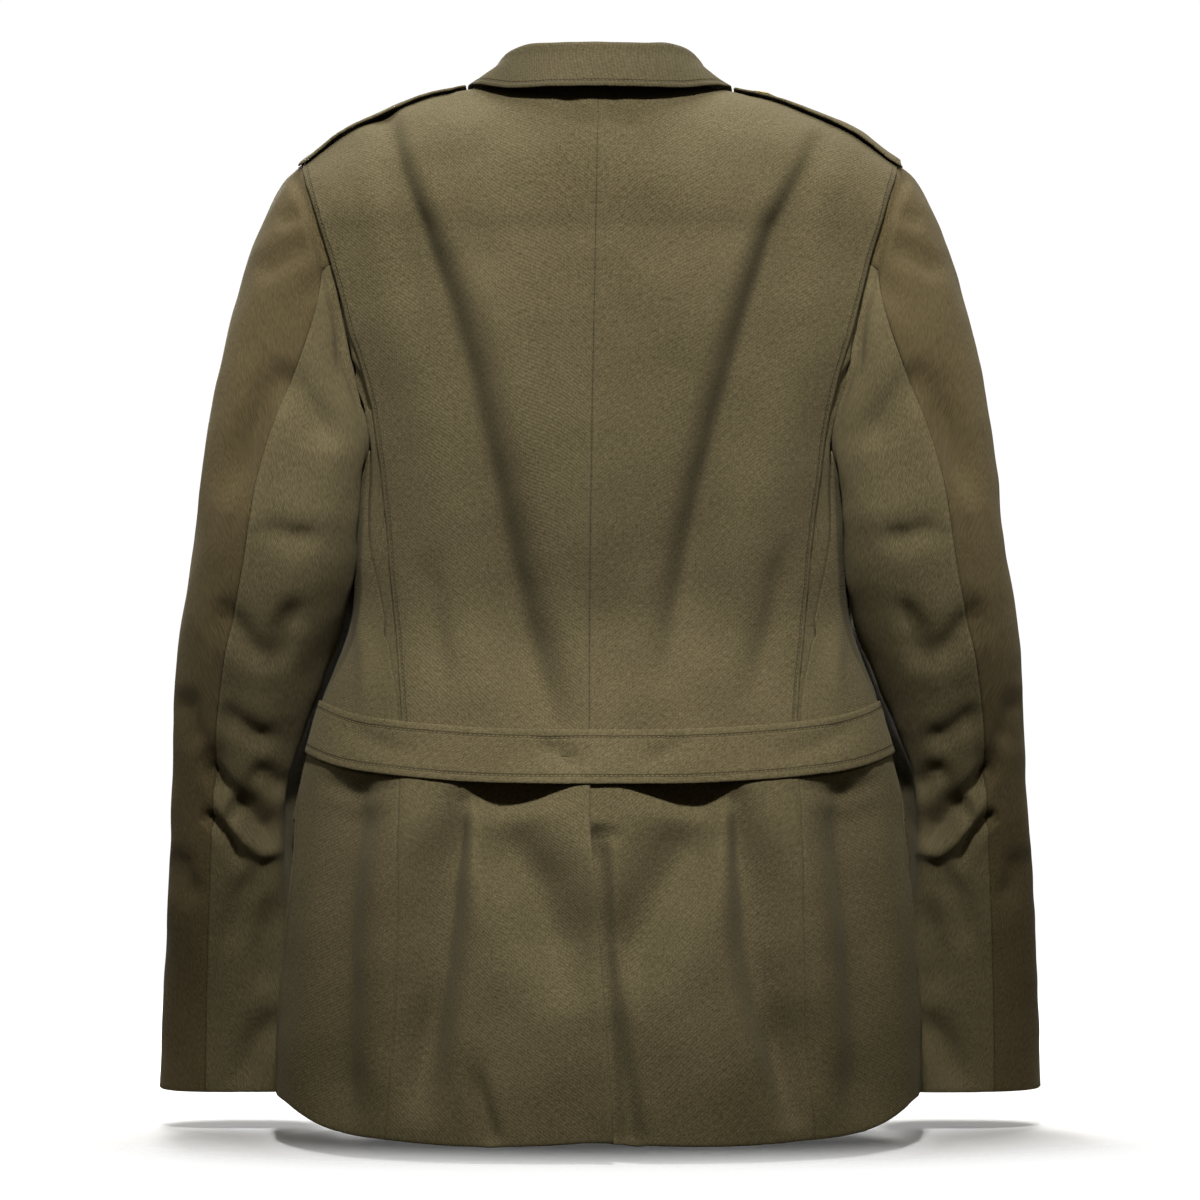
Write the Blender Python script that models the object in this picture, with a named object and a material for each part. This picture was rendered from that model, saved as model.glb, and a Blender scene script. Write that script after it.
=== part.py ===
"""An officer's dress jacket in wool, filled out as if worn, with nobody in it.

The jacket is held by its neck. The origin is at the neck, at the height of the collar seam.
+Z is up, the front faces -Y, and the wearer's left is +X.
"""

import bpy
import math
import numpy as np

# ---------------------------------------------------------------- sizes, in metres
WALL = 0.0016          # thickness of the cloth
SEAM = 0.0005          # gap between two pieces sewn edge to edge
LAYER = 0.0008         # gap between two pieces that lie one on the other
ROUND = 2.4            # squareness of the body's rings, 2 is an ellipse
HEM = -0.7385          # the lowest part of the bottom edge
WAIST_SEAM = -0.470    # the back meets the skirt here, under the half belt
ROLL = -0.100          # above this height the body rolls over to the shoulder
UNDERARM = -0.285      # the lowest point of the armhole
SIDE_SEAM = math.radians(4.0)
SIDE_GAP = 0.0020      # half the side seam's gap, as an angle
BREAK = -0.262         # the lapel starts to roll here
OVERLAP = 0.022        # the fronts lap this far over the centre line
VENT_UNDER = 0.030     # the right skirt runs this far under the left one
PLEAT_GAP = 0.0013     # the layer under the fold lies this far inside the back
PLEAT_UNDER = 0.022    # the pleat's under layer runs this far under the back
PLEAT_OUT = 0.004      # and this far under the side back
BELT_WIDTH = 0.038
NECK_HALF = 0.075
STRAP_HALF = 0.024
STRAP_BEND = 0.45      # the stiff strap bends over the shoulder by this share of its shape
STRAP_IN, STRAP_OUT = 0.102, 0.2155
STRAP_FORWARD = 0.012  # the strap's neck end lies this far before the shoulder line
FLAP_TOP, FLAP_DEPTH = -0.476, 0.052
BUTTON_HEIGHTS = (-0.288, -0.353, -0.418, -0.483)
BUTTON_RADIUS, BUTTON_RISE = 0.0125, 0.0055
SMALL_RADIUS, SMALL_RISE = 0.0085, 0.0036

OLIVE = (0.135, 0.112, 0.058, 1.0)
OLIVE_SHADE = (0.110, 0.090, 0.044, 1.0)
BRASS = (0.52, 0.38, 0.16, 1.0)

# The body's rings: height, half width, depth behind and depth in front of the side.
BODY = {
    "z": (-0.739, -0.709, -0.682, -0.645, -0.615, -0.574, -0.524, -0.496, -0.467,
          -0.430, -0.375, -0.332, -0.283, -0.240, -0.160, -0.100),
    "half": (0.2324, 0.2330, 0.2323, 0.2296, 0.2274, 0.2234, 0.2187, 0.2155, 0.2086,
             0.1983, 0.1800, 0.1820, 0.1885, 0.2010, 0.2270, 0.2430),
    "back": (0.1350, 0.1340, 0.1325, 0.1300, 0.1280, 0.1250, 0.1190, 0.1145, 0.1080,
             0.1010, 0.0950, 0.1040, 0.1140, 0.1190, 0.1180, 0.1060),
    "front": (0.1240, 0.1240, 0.1235, 0.1230, 0.1225, 0.1215, 0.1195, 0.1180, 0.1160,
              0.1120, 0.1080, 0.1140, 0.1220, 0.1240, 0.1180, 0.0980),
}
# The line over the shoulders and round the back of the neck, by distance from the centre.
TOP = {
    "x": (0.0, 0.030, 0.055, 0.075, 0.0920, 0.1215, 0.1520, 0.1830, 0.2015, 0.2187, 0.243),
    "y": (0.070, 0.064, 0.046, 0.020, 0.012, 0.006, 0.002, 0.000, -0.001, -0.002, -0.004),
    "z": (-0.006, -0.004, 0.002, 0.0075, 0.0056, 0.0005, -0.0098, -0.0238, -0.0363,
          -0.0482, -0.0660),
}
# The seam of the sleeve behind, the folded edge of the back, the edge of the side back,
# the centre back seam and the seam of the sleeve in front: distance out at each height.
ARMHOLE_BACK = {
    "z": (-0.0482, -0.0720, -0.0926, -0.1134, -0.1377, -0.1595, -0.1815, -0.2047, -0.2260, -0.2556),
    "x": (0.2187, 0.2123, 0.2044, 0.1984, 0.1912, 0.1866, 0.1827, 0.1767, 0.1690, 0.1633),
}
FOLD = {
    "z": (-0.0515, -0.0944, -0.1410, -0.1790, -0.2066, -0.2486, -0.3060, -0.3762, -0.4367, -0.4700),
    "x": (0.2135, 0.1992, 0.1850, 0.1745, 0.1661, 0.1584, 0.1516, 0.1451, 0.1399, 0.1385),
}
SIDE_EDGE = {
    "z": (-0.2556, -0.3017, -0.3451, -0.3898, -0.4274, -0.4600, -0.5008, -0.6636, -0.7390),
    "x": (0.1633, 0.1627, 0.1579, 0.1508, 0.1433, 0.1411, 0.1406, 0.1452, 0.1500),
}
CENTRE_SEAM = {"z": (-0.010, -0.360, -0.739), "x": (0.0014, 0.0071, 0.0071)}
ARMHOLE_FRONT = {
    "z": (-0.0482, -0.080, -0.110, -0.140, -0.170, -0.200, -0.225),
    "x": (0.2187, 0.2050, 0.1920, 0.1820, 0.1760, 0.1735, 0.1750),
}
# How far the bottom edge rises above its lowest part, by distance from the centre.
HEM_RISE = {
    "x": (0.0, 0.050, 0.100, 0.140, 0.175, 0.207, 0.233),
    "behind": (0.0035, 0.0005, 0.0, 0.0020, 0.0045, 0.0110, 0.0235),
    "before": (0.0085, 0.0085, 0.0090, 0.0100, 0.0125, 0.0170, 0.0235),
}
# The free edge of the left skirt at the vent.
VENT_EDGE = {
    "z": (-0.470, -0.521, -0.556, -0.601, -0.646, -0.682, -0.712, -0.7385),
    "x": (0.0064, 0.0064, 0.0036, 0.0000, -0.0036, -0.0064, -0.0085, -0.0092),
}
# The half belt's upper edge, by distance from the centre.
BELT_TOP = {
    "x": (0.0, 0.035, 0.069, 0.118, 0.148, 0.172, 0.193, 0.209),
    "z": (-0.4511, -0.4511, -0.4505, -0.4480, -0.4455, -0.4425, -0.4380, -0.4330),
}
# The sleeve's sections: height, centre across and back, reach outwards, inwards and
# to front and back, and how far the inside keeps from the body.
SLEEVE = {
    "z": (-0.299, -0.345, -0.396, -0.442, -0.484, -0.547, -0.610, -0.668, -0.722),
    "across": (0.2273, 0.2349, 0.2478, 0.2565, 0.2606, 0.2635, 0.2650, 0.2652, 0.2640),
    "back": (0.006, 0.000, -0.016, -0.034, -0.052, -0.068, -0.080, -0.088, -0.093),
    "outer": (0.0614, 0.0610, 0.0567, 0.0524, 0.0517, 0.0538, 0.0564, 0.0598, 0.0629),
    "inner": (0.0690, 0.0670, 0.0580, 0.0535, 0.0517, 0.0560, 0.0600, 0.0625, 0.0640),
    "deep": (0.080, 0.076, 0.070, 0.064, 0.060, 0.055, 0.050, 0.046, 0.044),
    "clear": (0.0028, 0.0040, 0.0050, 0.0070, 0.0120, 0.0110, 0.0060, 0.0050, 0.0050),
}
SLEEVE_SQUARE = 2.5
# Where the two sleeve pieces are sewn together: angle round the sleeve at each height.
HIND_SEAM = {
    "z": (-0.72, -0.50, -0.36, -0.26, -0.20, -0.14, -0.10, -0.06),
    "deg": (71.0, 75.0, 77.0, 78.0, 79.0, 79.0, 75.0, 66.0),
}
FORE_SEAM = {"z": (-0.72, -0.30, -0.10), "deg": (236.0, 232.0, 236.0)}
# The collar, from the centre back to its front end: where its stand is sewn on, its
# folded top and the edge of its fall.
COLLAR = {
    "base_x": (0.000, 0.030, 0.053, 0.0700, 0.0715, 0.0600, 0.0440),
    "base_y": (0.0662, 0.0602, 0.0408, 0.0165, -0.0130, -0.0520, -0.0840),
    "base_z": (-0.0100, -0.0080, -0.0005, 0.0095, 0.0090, -0.0180, -0.0600),
    "top_x": (0.000, 0.028, 0.049, 0.0655, 0.0690, 0.0590, 0.0430),
    "top_y": (0.0600, 0.0545, 0.0380, 0.0140, -0.0140, -0.0540, -0.0890),
    "top_z": (0.0335, 0.0340, 0.0350, 0.0285, 0.0175, -0.0110, -0.0530),
    "edge_x": (0.000, 0.034, 0.064, 0.0900, 0.0960, 0.0910, 0.0780),
    "edge_y": (0.0840, 0.0780, 0.0560, 0.0180, -0.0200, -0.0680, -0.1010),
    "edge_z": (0.0012, 0.0012, 0.0030, 0.0090, 0.0085, -0.0130, -0.0560),
}
# The largest folds of the back, each a soft trough between two points seen from behind.
TROUGHS = (
    {"from": (0.145, -0.030), "to": (0.091, -0.200), "depth": 0.0030, "half": 0.013},
    {"from": (0.091, -0.200), "to": (0.013, -0.440), "depth": 0.0052, "half": 0.017},
    {"from": (-0.129, -0.065), "to": (-0.074, -0.200), "depth": 0.0022, "half": 0.013},
    {"from": (-0.074, -0.200), "to": (-0.047, -0.400), "depth": 0.0036, "half": 0.016},
)
# The skirt dips in under the belt on each side of its centre, and flares below.
SKIRT_TROUGHS = (
    {"from": (0.079, -0.480), "to": (0.106, -0.720), "depth": 0.0050, "half": 0.015},
    {"from": (-0.070, -0.480), "to": (-0.112, -0.720), "depth": 0.0050, "half": 0.015},
    {"from": (0.062, -0.497), "to": (0.100, -0.489), "depth": 0.0050, "half": 0.016},
    {"from": (-0.055, -0.499), "to": (-0.095, -0.489), "depth": 0.0050, "half": 0.016},
)


# ---------------------------------------------------------------- small tools
def read(table, column, at, key="z"):
    """A smooth value of one column of a table, where its key column is at."""
    keys = np.array(table[key], float)
    values = np.array(table[column], float)
    if keys[0] > keys[-1]:
        keys, values = keys[::-1], values[::-1]
    at = min(max(at, keys[0]), keys[-1])
    slopes = np.gradient(values, keys)
    i = min(max(int(np.searchsorted(keys, at)) - 1, 0), len(keys) - 2)
    span = keys[i + 1] - keys[i]
    t = (at - keys[i]) / span
    return float(
        (2 * t**3 - 3 * t**2 + 1) * values[i]
        + (t**3 - 2 * t**2 + t) * span * slopes[i]
        + (3 * t**2 - 2 * t**3) * values[i + 1]
        + (t**3 - t**2) * span * slopes[i + 1]
    )


def ease(value, low, high):
    """0 below low, 1 above high and a smooth rise between them."""
    t = min(max((value - low) / (high - low), 0.0), 1.0)
    return t * t * (3 - 2 * t)


def power(value, exponent):
    return math.copysign(abs(value) ** exponent, value)


def trough_depth(troughs, x, z):
    """How far the cloth dips at this place, seen from behind."""
    dip = 0.0
    for trough in troughs:
        start, end = np.array(trough["from"]), np.array(trough["to"])
        along = end - start
        t = float(np.dot(np.array((x, z)) - start, along) / np.dot(along, along))
        off = math.hypot(*(np.array((x, z)) - start - min(max(t, 0.0), 1.0) * along))
        fade = ease(t, -0.15, 0.25) * (1 - ease(t, 0.75, 1.15))
        dip = max(dip, trough["depth"] * fade * math.exp(-((off / trough["half"]) ** 2)))
    return dip


# ---------------------------------------------------------------- the body's surface
def ring(angle, z):
    """A point of the body's ring. The angle is 0 at the side and grows towards the back."""
    half = read(BODY, "half", z)
    deep = read(BODY, "back" if angle >= 0 else "front", z)
    x = half * power(math.cos(angle), 2 / ROUND)
    y = deep * power(math.sin(angle), 2 / ROUND)
    return np.array((x, y, z))


def angle_at(x, z, behind=True):
    """The angle at which the body's ring lies this far from the centre."""
    share = min(abs(x) / read(BODY, "half", z), 1.0)
    angle = math.acos(share ** (ROUND / 2))
    angle = angle if behind else -angle
    return math.copysign(1, angle) * math.pi - angle if x < 0 else angle


def body_reach(y, z):
    """How far out the body's ring lies at this depth."""
    deep = read(BODY, "back" if y >= 0 else "front", z)
    inside = max(1 - (abs(y) / deep) ** ROUND, 0.0)
    return read(BODY, "half", z) * inside ** (1 / ROUND)


def shoulder(x, turn, behind=True):
    """A point on the roll from the body's side (turn 0) to the shoulder line (turn 1)."""
    out = abs(x)
    start = ring(angle_at(out, ROLL, behind), ROLL)
    top_y, top_z = read(TOP, "y", out, "x"), read(TOP, "z", out, "x")
    least = math.radians(35 + 43 * ease(out, 0.03, 0.10))
    phi = least * turn
    rise = math.sin(phi) / math.sin(least)
    depth = (math.cos(phi) - math.cos(least)) / (1 - math.cos(least))
    z = ROLL + (top_z - ROLL) * rise
    return np.array((x, top_y + (start[1] - top_y) * depth, z))


def turn_at(x, z):
    """The turn at which the roll reaches this height."""
    top_z = read(TOP, "z", abs(x), "x")
    least = math.radians(35 + 43 * ease(abs(x), 0.03, 0.10))
    rise = min(max((z - ROLL) / (top_z - ROLL), 0.0), 1.0)
    return math.asin(rise * math.sin(least)) / least



def normals(grid):
    """Unit normals of a grid of points, from the differences along its two ways."""
    down = np.gradient(grid, axis=0)
    along = np.gradient(grid, axis=1)
    out = np.cross(along, down)
    return out / np.maximum(np.linalg.norm(out, axis=2, keepdims=True), 1e-12)


# ---------------------------------------------------------------- making pieces
def material(name, colour, roughness, metallic):
    made = bpy.data.materials.new(name)
    made.use_nodes = True
    surface = made.node_tree.nodes["Principled BSDF"]
    surface.inputs["Base Color"].default_value = colour
    surface.inputs["Roughness"].default_value = roughness
    surface.inputs["Metallic"].default_value = metallic
    made.diffuse_color = colour
    return made


def show(name, points, faces, colour=OLIVE, roughness=0.85, metallic=0.0):
    """Makes one named piece from its points and faces."""
    mesh = bpy.data.meshes.new(name)
    mesh.from_pydata([tuple(p) for p in points], [], faces)
    mesh.update()
    piece = bpy.data.objects.new(name, mesh)
    bpy.context.scene.collection.objects.link(piece)
    mesh.shade_smooth()
    mesh.set_sharp_from_angle(angle=math.radians(40))
    mesh.materials.append(material(name, colour, roughness, metallic))
    return piece


def facing_out(grid, about):
    """Whether the grid's normals point away from a point inside."""
    return float((normals(grid) * (grid - np.array(about)))[:, -2:].sum()) > 0


def cloth(name, grid, lift=0.0, colour=OLIVE, about=(0.0, 0.0, -0.4), border=0):
    """A sheet of cloth on a grid of points. lift moves its outer face out from the grid.

    border columns on each side give the grid its normals and are then left off.
    """
    grid = np.array(grid, float)
    lift = np.broadcast_to(np.array(lift, float), grid.shape[:2])[..., None]
    if not facing_out(grid, about):
        grid, lift = grid[::-1], lift[::-1]
    kept = slice(border, grid.shape[1] - border)
    way = normals(grid)[:, kept]
    grid, lift = grid[:, kept], lift[:, kept]
    rows, columns, _ = grid.shape
    outer = (grid + way * lift).reshape(-1, 3)
    inner = (grid + way * (lift - WALL)).reshape(-1, 3)
    size = rows * columns

    def at(r, c):
        return r * columns + c

    faces = []
    for r in range(rows - 1):
        for c in range(columns - 1):
            quad = (at(r, c), at(r, c + 1), at(r + 1, c + 1), at(r + 1, c))
            faces.append(quad)
            faces.append(tuple(size + i for i in quad[::-1]))
    rim = [at(0, c) for c in range(columns - 1)]
    rim += [at(r, columns - 1) for r in range(rows - 1)]
    rim += [at(rows - 1, c) for c in range(columns - 1, 0, -1)]
    rim += [at(r, 0) for r in range(rows - 1, 0, -1)]
    for a, b in zip(rim, rim[1:] + rim[:1]):
        faces.append((b, a, size + a, size + b))
    return show(name, np.concatenate([outer, inner]), faces, colour)


def mirrored(grid):
    """The same grid on the wearer's other side."""
    return np.array(grid, float) * np.array((-1.0, 1.0, 1.0))


def pair(name, grid, lift=0.0, colour=OLIVE, about=(0.0, 0.0, -0.4), border=0):
    """The piece on the wearer's left, and its mirror image on the right."""
    cloth(name + "_left", grid, lift, colour, about, border)
    cloth(name + "_right", mirrored(grid), lift, colour, mirrored(about), border)


def spread(low, high, count):
    return [low + (high - low) * i / (count - 1) for i in range(count)]


# ---------------------------------------------------------------- the back
def torso_rows(bottom, count_low=13, count_high=7):
    """Heights from the bottom to the roll, then turns up to the shoulder line."""
    low = [("z", z) for z in spread(bottom, ROLL, count_low)]
    return low + [("turn", t) for t in spread(0, 1, count_high)[1:]]


def open_seam(grid, gap):
    """The grid with its last row, at the shoulder line, moved back by the gap."""
    grid = np.array(grid, float)
    grid[-1, :, 1] += gap
    return grid


def row_height(kind, value, x, behind=True):
    return value if kind == "z" else shoulder(x, value, behind)[2]


def edge_on_row(table, kind, value, behind=True):
    """Where an edge line crosses a row. On the roll its height depends on how far out it is."""
    x = read(table, "x", ROLL)
    for _ in range(8):
        x = read(table, "x", row_height(kind, value, x, behind))
    return x


def back_row(kind, value, inner, outer, count):
    """Points across the back on one row, from one distance out to another."""
    z = value if kind == "z" else ROLL
    angles = spread(angle_at(inner, z), angle_at(outer, z), count)
    across = [ring(a, z)[0] for a in angles]
    if kind == "z":
        return [ring(a, z) for a in angles]
    return [shoulder(x, value) for x in across]


def dipped(grid, troughs):
    """The grid with the folds pressed into it."""
    grid = np.array(grid, float)
    way = normals(grid) * (1 if facing_out(grid, (0.0, 0.0, -0.4)) else -1)
    for r in range(grid.shape[0]):
        for c in range(grid.shape[1]):
            x, _, z = grid[r, c]
            grid[r, c] -= way[r, c] * trough_depth(troughs, x, z)
    return grid


def hung(grid):
    """The grid with its bottom edge raised to the curve of the hem."""
    grid = np.array(grid, float)
    for row in grid:
        for point in row:
            low = (WAIST_SEAM - point[2]) / (WAIST_SEAM - HEM)
            column = "behind" if point[1] > 0 else "before"
            point[2] += read(HEM_RISE, column, abs(point[0]), "x") * max(low, 0.0) ** 2
    return grid


def back_half(side):
    """One half of the back, from the centre seam to its folded edge."""
    grid = []
    for kind, value in torso_rows(WAIST_SEAM + SEAM / 2):
        fold = edge_on_row(FOLD, kind, value)
        seam = read(CENTRE_SEAM, "x", value if kind == "z" else row_height(kind, value, 0.0))
        start = seam + side * SEAM / 2
        grid.append(back_row(kind, value, start, side * fold, 11))
    return open_seam(grid, 0.0010)


def pleat_layer():
    """The layer under the fold: its inner part is covered, its outer edge meets the sleeve."""
    grid = []
    for kind, value in torso_rows(WAIST_SEAM + SEAM / 2):
        fold = edge_on_row(FOLD, kind, value)
        z = row_height(kind, value, fold)
        if z > ARMHOLE_BACK["z"][-1]:
            outer = edge_on_row(ARMHOLE_BACK, kind, value) - SEAM
        else:
            sunk = ease(ARMHOLE_BACK["z"][-1] - z, 0.0, 0.03)
            outer = read(SIDE_EDGE, "x", z) - SEAM + sunk * PLEAT_OUT
        under = PLEAT_UNDER * (1 - 0.75 * ease(z, -0.10, -0.06))
        grid.append(back_row(kind, value, outer, fold - under, 5))
    return open_seam(grid, 0.0015)


# ---------------------------------------------------------------- the side back
def side_top(angle):
    """The lower back part of the armhole: its height at this angle."""
    end = angle_at(ARMHOLE_BACK["x"][-1], ARMHOLE_BACK["z"][-1])
    share = min(max((angle - SIDE_SEAM) / (end - SIDE_SEAM), 0.0), 1.0)
    return ARMHOLE_BACK["z"][-1] + (UNDERARM - ARMHOLE_BACK["z"][-1]) * math.sqrt(1 - share**2)


def side_back():
    """From the side seam to the back, and from the armhole down to the hem."""
    rows, columns = 24, 6
    grid = []
    for r in range(rows):
        row = []
        for c in range(columns):
            share = c / (columns - 1)
            z = HEM
            for _ in range(8):
                outer = angle_at(read(SIDE_EDGE, "x", z) + SEAM, z)
                start = SIDE_SEAM + SIDE_GAP
                angle = start + (outer - start) * share
                top = side_top(angle) - SEAM
                z = HEM + (top - HEM) * r / (rows - 1)
            row.append(ring(angle, z))
        grid.append(row)
    return hung(grid)


# ---------------------------------------------------------------- the skirt behind
def skirt_half(side):
    """One half of the skirt. The left one's free edge laps over the right one."""
    rows, columns = 15, 11
    grid, lift = [], []
    for z in spread(HEM, WAIST_SEAM - SEAM / 2, rows):
        outer = read(SIDE_EDGE, "x", z) - SEAM
        vent = read(VENT_EDGE, "x", z)
        start = vent if side > 0 else vent + VENT_UNDER
        angles = spread(angle_at(start, z), angle_at(side * outer, z), columns)
        row = [ring(a, z) for a in angles]
        sunk = [(WALL + LAYER) * ease(p[0], -0.045, -0.022) if side < 0 else 0.0 for p in row]
        grid.append(row)
        lift.append([-s for s in sunk])
    return hung(dipped(grid, SKIRT_TROUGHS)), np.array(lift)


# ---------------------------------------------------------------- the fronts
def front_armhole(z):
    """The angle of the front's outer edge: the side seam, then the armhole's lower curve."""
    low = ARMHOLE_FRONT["z"][-1]
    end = angle_at(ARMHOLE_FRONT["x"][-1], low, behind=False)
    if z <= UNDERARM:
        return SIDE_SEAM
    if z >= low:
        return angle_at(read(ARMHOLE_FRONT, "x", z), z, behind=False)
    share = (low - z) / (low - UNDERARM)
    return SIDE_SEAM + (end - SIDE_SEAM) * math.sqrt(1 - share**2)


def front_rows():
    low = spread(HEM, UNDERARM, 15)
    curve = [UNDERARM + s * 0.060 for s in (0.04, 0.16, 0.38, 0.68, 1.0)]
    chest = spread(UNDERARM + 0.060, ROLL, 5)[1:]
    rows = [("z", z) for z in low + curve + chest]
    return rows + [("turn", t) for t in spread(0, 1, 7)[1:]]


def roll_line(z):
    """The front's inner edge: straight below the break, then up the lapel's roll to the neck."""
    top = TOP["z"][3]
    share = min(max((z - BREAK) / (top - BREAK), 0.0), 1.0)
    return OVERLAP * (1 - share) * -1 + (NECK_HALF + 0.002) * share


def front_half(side):
    """One front, from its free edge to the side seam. The left one lies over the right one."""
    columns = 12
    grid, lift = [], []
    for kind, value in front_rows():
        z = value if kind == "z" else ROLL
        if kind == "z":
            inner = roll_line(z)
            outer = front_armhole(z)
            outer -= SIDE_GAP * (outer >= SIDE_SEAM - 0.01)
            first = angle_at(inner, z, behind=False)
            first = first if inner >= 0 else -abs(first)
            row = [ring(a, z) for a in spread(first, outer, columns)]
        else:
            x = NECK_HALF
            for _ in range(8):
                x = roll_line(shoulder(x, value, False)[2])
            end = edge_on_row(ARMHOLE_FRONT, kind, value, False)
            ends = (angle_at(x, ROLL, False), angle_at(end, ROLL, False))
            row = [shoulder(ring(a, ROLL)[0], value, False) for a in spread(*ends, columns)]
        grid.append(row)
        under = (WALL + LAYER) if side < 0 else 0.0
        lift.append([-under * ease(-p[0], -0.050, -0.026) for p in row])
    return hung(open_seam(grid, -0.0010)), np.array(lift)


# ---------------------------------------------------------------- the sleeves
def armhole_loop():
    """The sleeve seam, as two lines of points from the shoulder's tip down to the underarm."""
    behind = []
    for kind, value in [("turn", t) for t in spread(1, 0, 8)] + [
        ("z", z) for z in spread(ROLL, ARMHOLE_BACK["z"][-1], 9)[1:]
    ]:
        x = edge_on_row(ARMHOLE_BACK, kind, value)
        behind.append(shoulder(x, value) if kind == "turn" else ring(angle_at(x, value), value))
    start = angle_at(ARMHOLE_BACK["x"][-1], ARMHOLE_BACK["z"][-1])
    for angle in spread(start, SIDE_SEAM, 9)[1:]:
        behind.append(ring(angle, side_top(angle)))
    before = []
    for kind, value in [("turn", t) for t in spread(1, 0, 8)] + [
        ("z", z) for z in spread(ROLL, ARMHOLE_FRONT["z"][-1], 8)[1:]
    ]:
        x = edge_on_row(ARMHOLE_FRONT, kind, value, False)
        if kind == "turn":
            before.append(shoulder(x, value, False))
        else:
            before.append(ring(angle_at(x, value, False), value))
    for share in spread(0, 1, 10)[1:]:
        z = ARMHOLE_FRONT["z"][-1] + (UNDERARM - ARMHOLE_FRONT["z"][-1]) * math.sin(share * math.pi / 2)
        before.append(ring(front_armhole(z), z))
    return np.array(behind), np.array(before)


def along(line, share):
    """The point at this share of a line's length."""
    steps = np.linalg.norm(np.diff(line, axis=0), axis=1)
    length = np.concatenate([[0], np.cumsum(steps)])
    at = share * length[-1]
    return np.array([np.interp(at, length, line[:, k]) for k in range(3)])


def sleeve_section(degrees, z):
    """A point of the sleeve's section: 0 degrees is outside, 90 behind, 180 against the body."""
    a = math.radians(degrees)
    cosine = power(math.cos(a), 2 / SLEEVE_SQUARE)
    sine = power(math.sin(a), 2 / SLEEVE_SQUARE)
    reach = read(SLEEVE, "outer" if cosine > 0 else "inner", z)
    x = read(SLEEVE, "across", z) + reach * cosine
    y = read(SLEEVE, "back", z) + read(SLEEVE, "deep", z) * sine
    return np.array((kept_clear(x, y, z), y, z))


def kept_clear(x, y, z):
    return max(x, body_reach(y, z) + read(SLEEVE, "clear", z))


def sleeve_point(degrees, row, loop):
    """A point of the sleeve. Rows from 0 to 1 are its head, and lower ones are heights."""
    if row < 0:
        return sleeve_section(degrees, row)
    behind, before = loop
    start = along(behind, degrees / 180) if degrees <= 180 else along(before, (360 - degrees) / 180)
    near_body = ease(-math.cos(math.radians(degrees)), 0.0, 0.9)
    start = start + np.array((0.0009 + 0.0018 * near_body, 0.0, -0.0003))
    end = sleeve_section(degrees, SLEEVE["z"][0])
    cosine, sine = math.cos(math.radians(degrees)), math.sin(math.radians(degrees))
    far = np.linalg.norm(end - start)
    leave = np.array((0.25 + 0.45 * (1 + cosine), 0.30 * sine, -0.90))
    first = start + leave / np.linalg.norm(leave) * 0.17 * far
    second = end + np.array((-0.10, 0.03, 1.0)) * 0.34 * far
    t = row
    point = ((1 - t) ** 3 * start + 3 * (1 - t) ** 2 * t * first
             + 3 * (1 - t) * t**2 * second + t**3 * end)
    if point[2] < -0.262 and 100 < degrees < 262:
        least = body_reach(point[1], point[2]) + 0.0027
        point[0] = max(point[0], least)
    return point


def sleeve_piece(first, last, columns, loop):
    """Rows from the seam of the head down to the cuff, between two of the sleeve's seams."""
    rows = [0, 0.10, 0.24, 0.40, 0.57, 0.74, 0.88]
    rows += spread(SLEEVE["z"][0], SLEEVE["z"][-1], 12)
    grid = []
    for row in rows:
        z = row if row < 0 else -0.06 - 0.24 * row
        start, end = read(first, "deg", z), read(last, "deg", z)
        step = (end - start) / (columns - 1)
        turns = spread(start - step, end + step, columns + 2)
        grid.append([sleeve_point(d % 360, row, loop) for d in turns])
    return np.array(grid)


def shifted(table, turn, ease_deg=0.0):
    """A seam table with its angles moved, to leave the gap of a seam or to go round once."""
    return {"z": table["z"], "deg": tuple(d + turn + ease_deg for d in table["deg"])}


# ---------------------------------------------------------------- collar and lapels
def collar_grid():
    """Rows go round the neck; each runs from the stand's seam, over the fold, to the fall's edge."""
    keys = tuple(range(len(COLLAR["base_x"])))
    table = dict(COLLAR, at=keys)
    half = []
    for s in spread(0, keys[-1], 13):
        base, top, edge = (
            np.array([read(table, f"{part}_{way}", s, "at") for way in "xyz"])
            for part in ("base", "top", "edge")
        )
        out = edge - base
        out[2] = 0
        out /= np.linalg.norm(out)
        up = np.array((0.0, 0.0, 1.0))
        fold = 0.0026
        section = [base, base + (top - base) * 0.5, base + (top - base) * 0.9]
        section.append(top + out * (fold * 0.3))
        section.append(top + out * (fold * 1.7))
        fall = top + out * (fold * 2.0) - up * fold
        section += [fall + (edge - fall) * t for t in (0.12, 0.5, 1.0)]
        half.append(section)
    half = np.array(half)
    other = half[1:].copy()
    other[..., 0] *= -1
    return np.concatenate([other[::-1], half])


def lapel(covered):
    """The turned-back part of the front, from the break up to the notch.

    The right one is covered by the left front where the two cross.
    """
    rows, columns = 13, 6
    grid = []
    for r in range(rows):
        share = r / (rows - 1)
        z = BREAK + 0.006 + (-0.062 - BREAK) * share
        fold = (abs(roll_line(z)) + 0.0025) if covered else roll_line(z) + 0.0015
        width = 0.062 * math.sin(math.pi / 2 * min(share * 1.15, 1.0)) ** 0.9 + 0.004
        row = []
        for c in range(columns):
            t = c / (columns - 1)
            x = fold + width * t
            lower = z - 0.016 * t * share
            height = min(lower, ROLL + 0.055)
            if height <= ROLL:
                angle = -abs(angle_at(x, height, False))
                row.append(ring(angle, height))
            else:
                row.append(shoulder(x, turn_at(x, height), False))
        grid.append(row)
    return np.array(grid)


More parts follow.
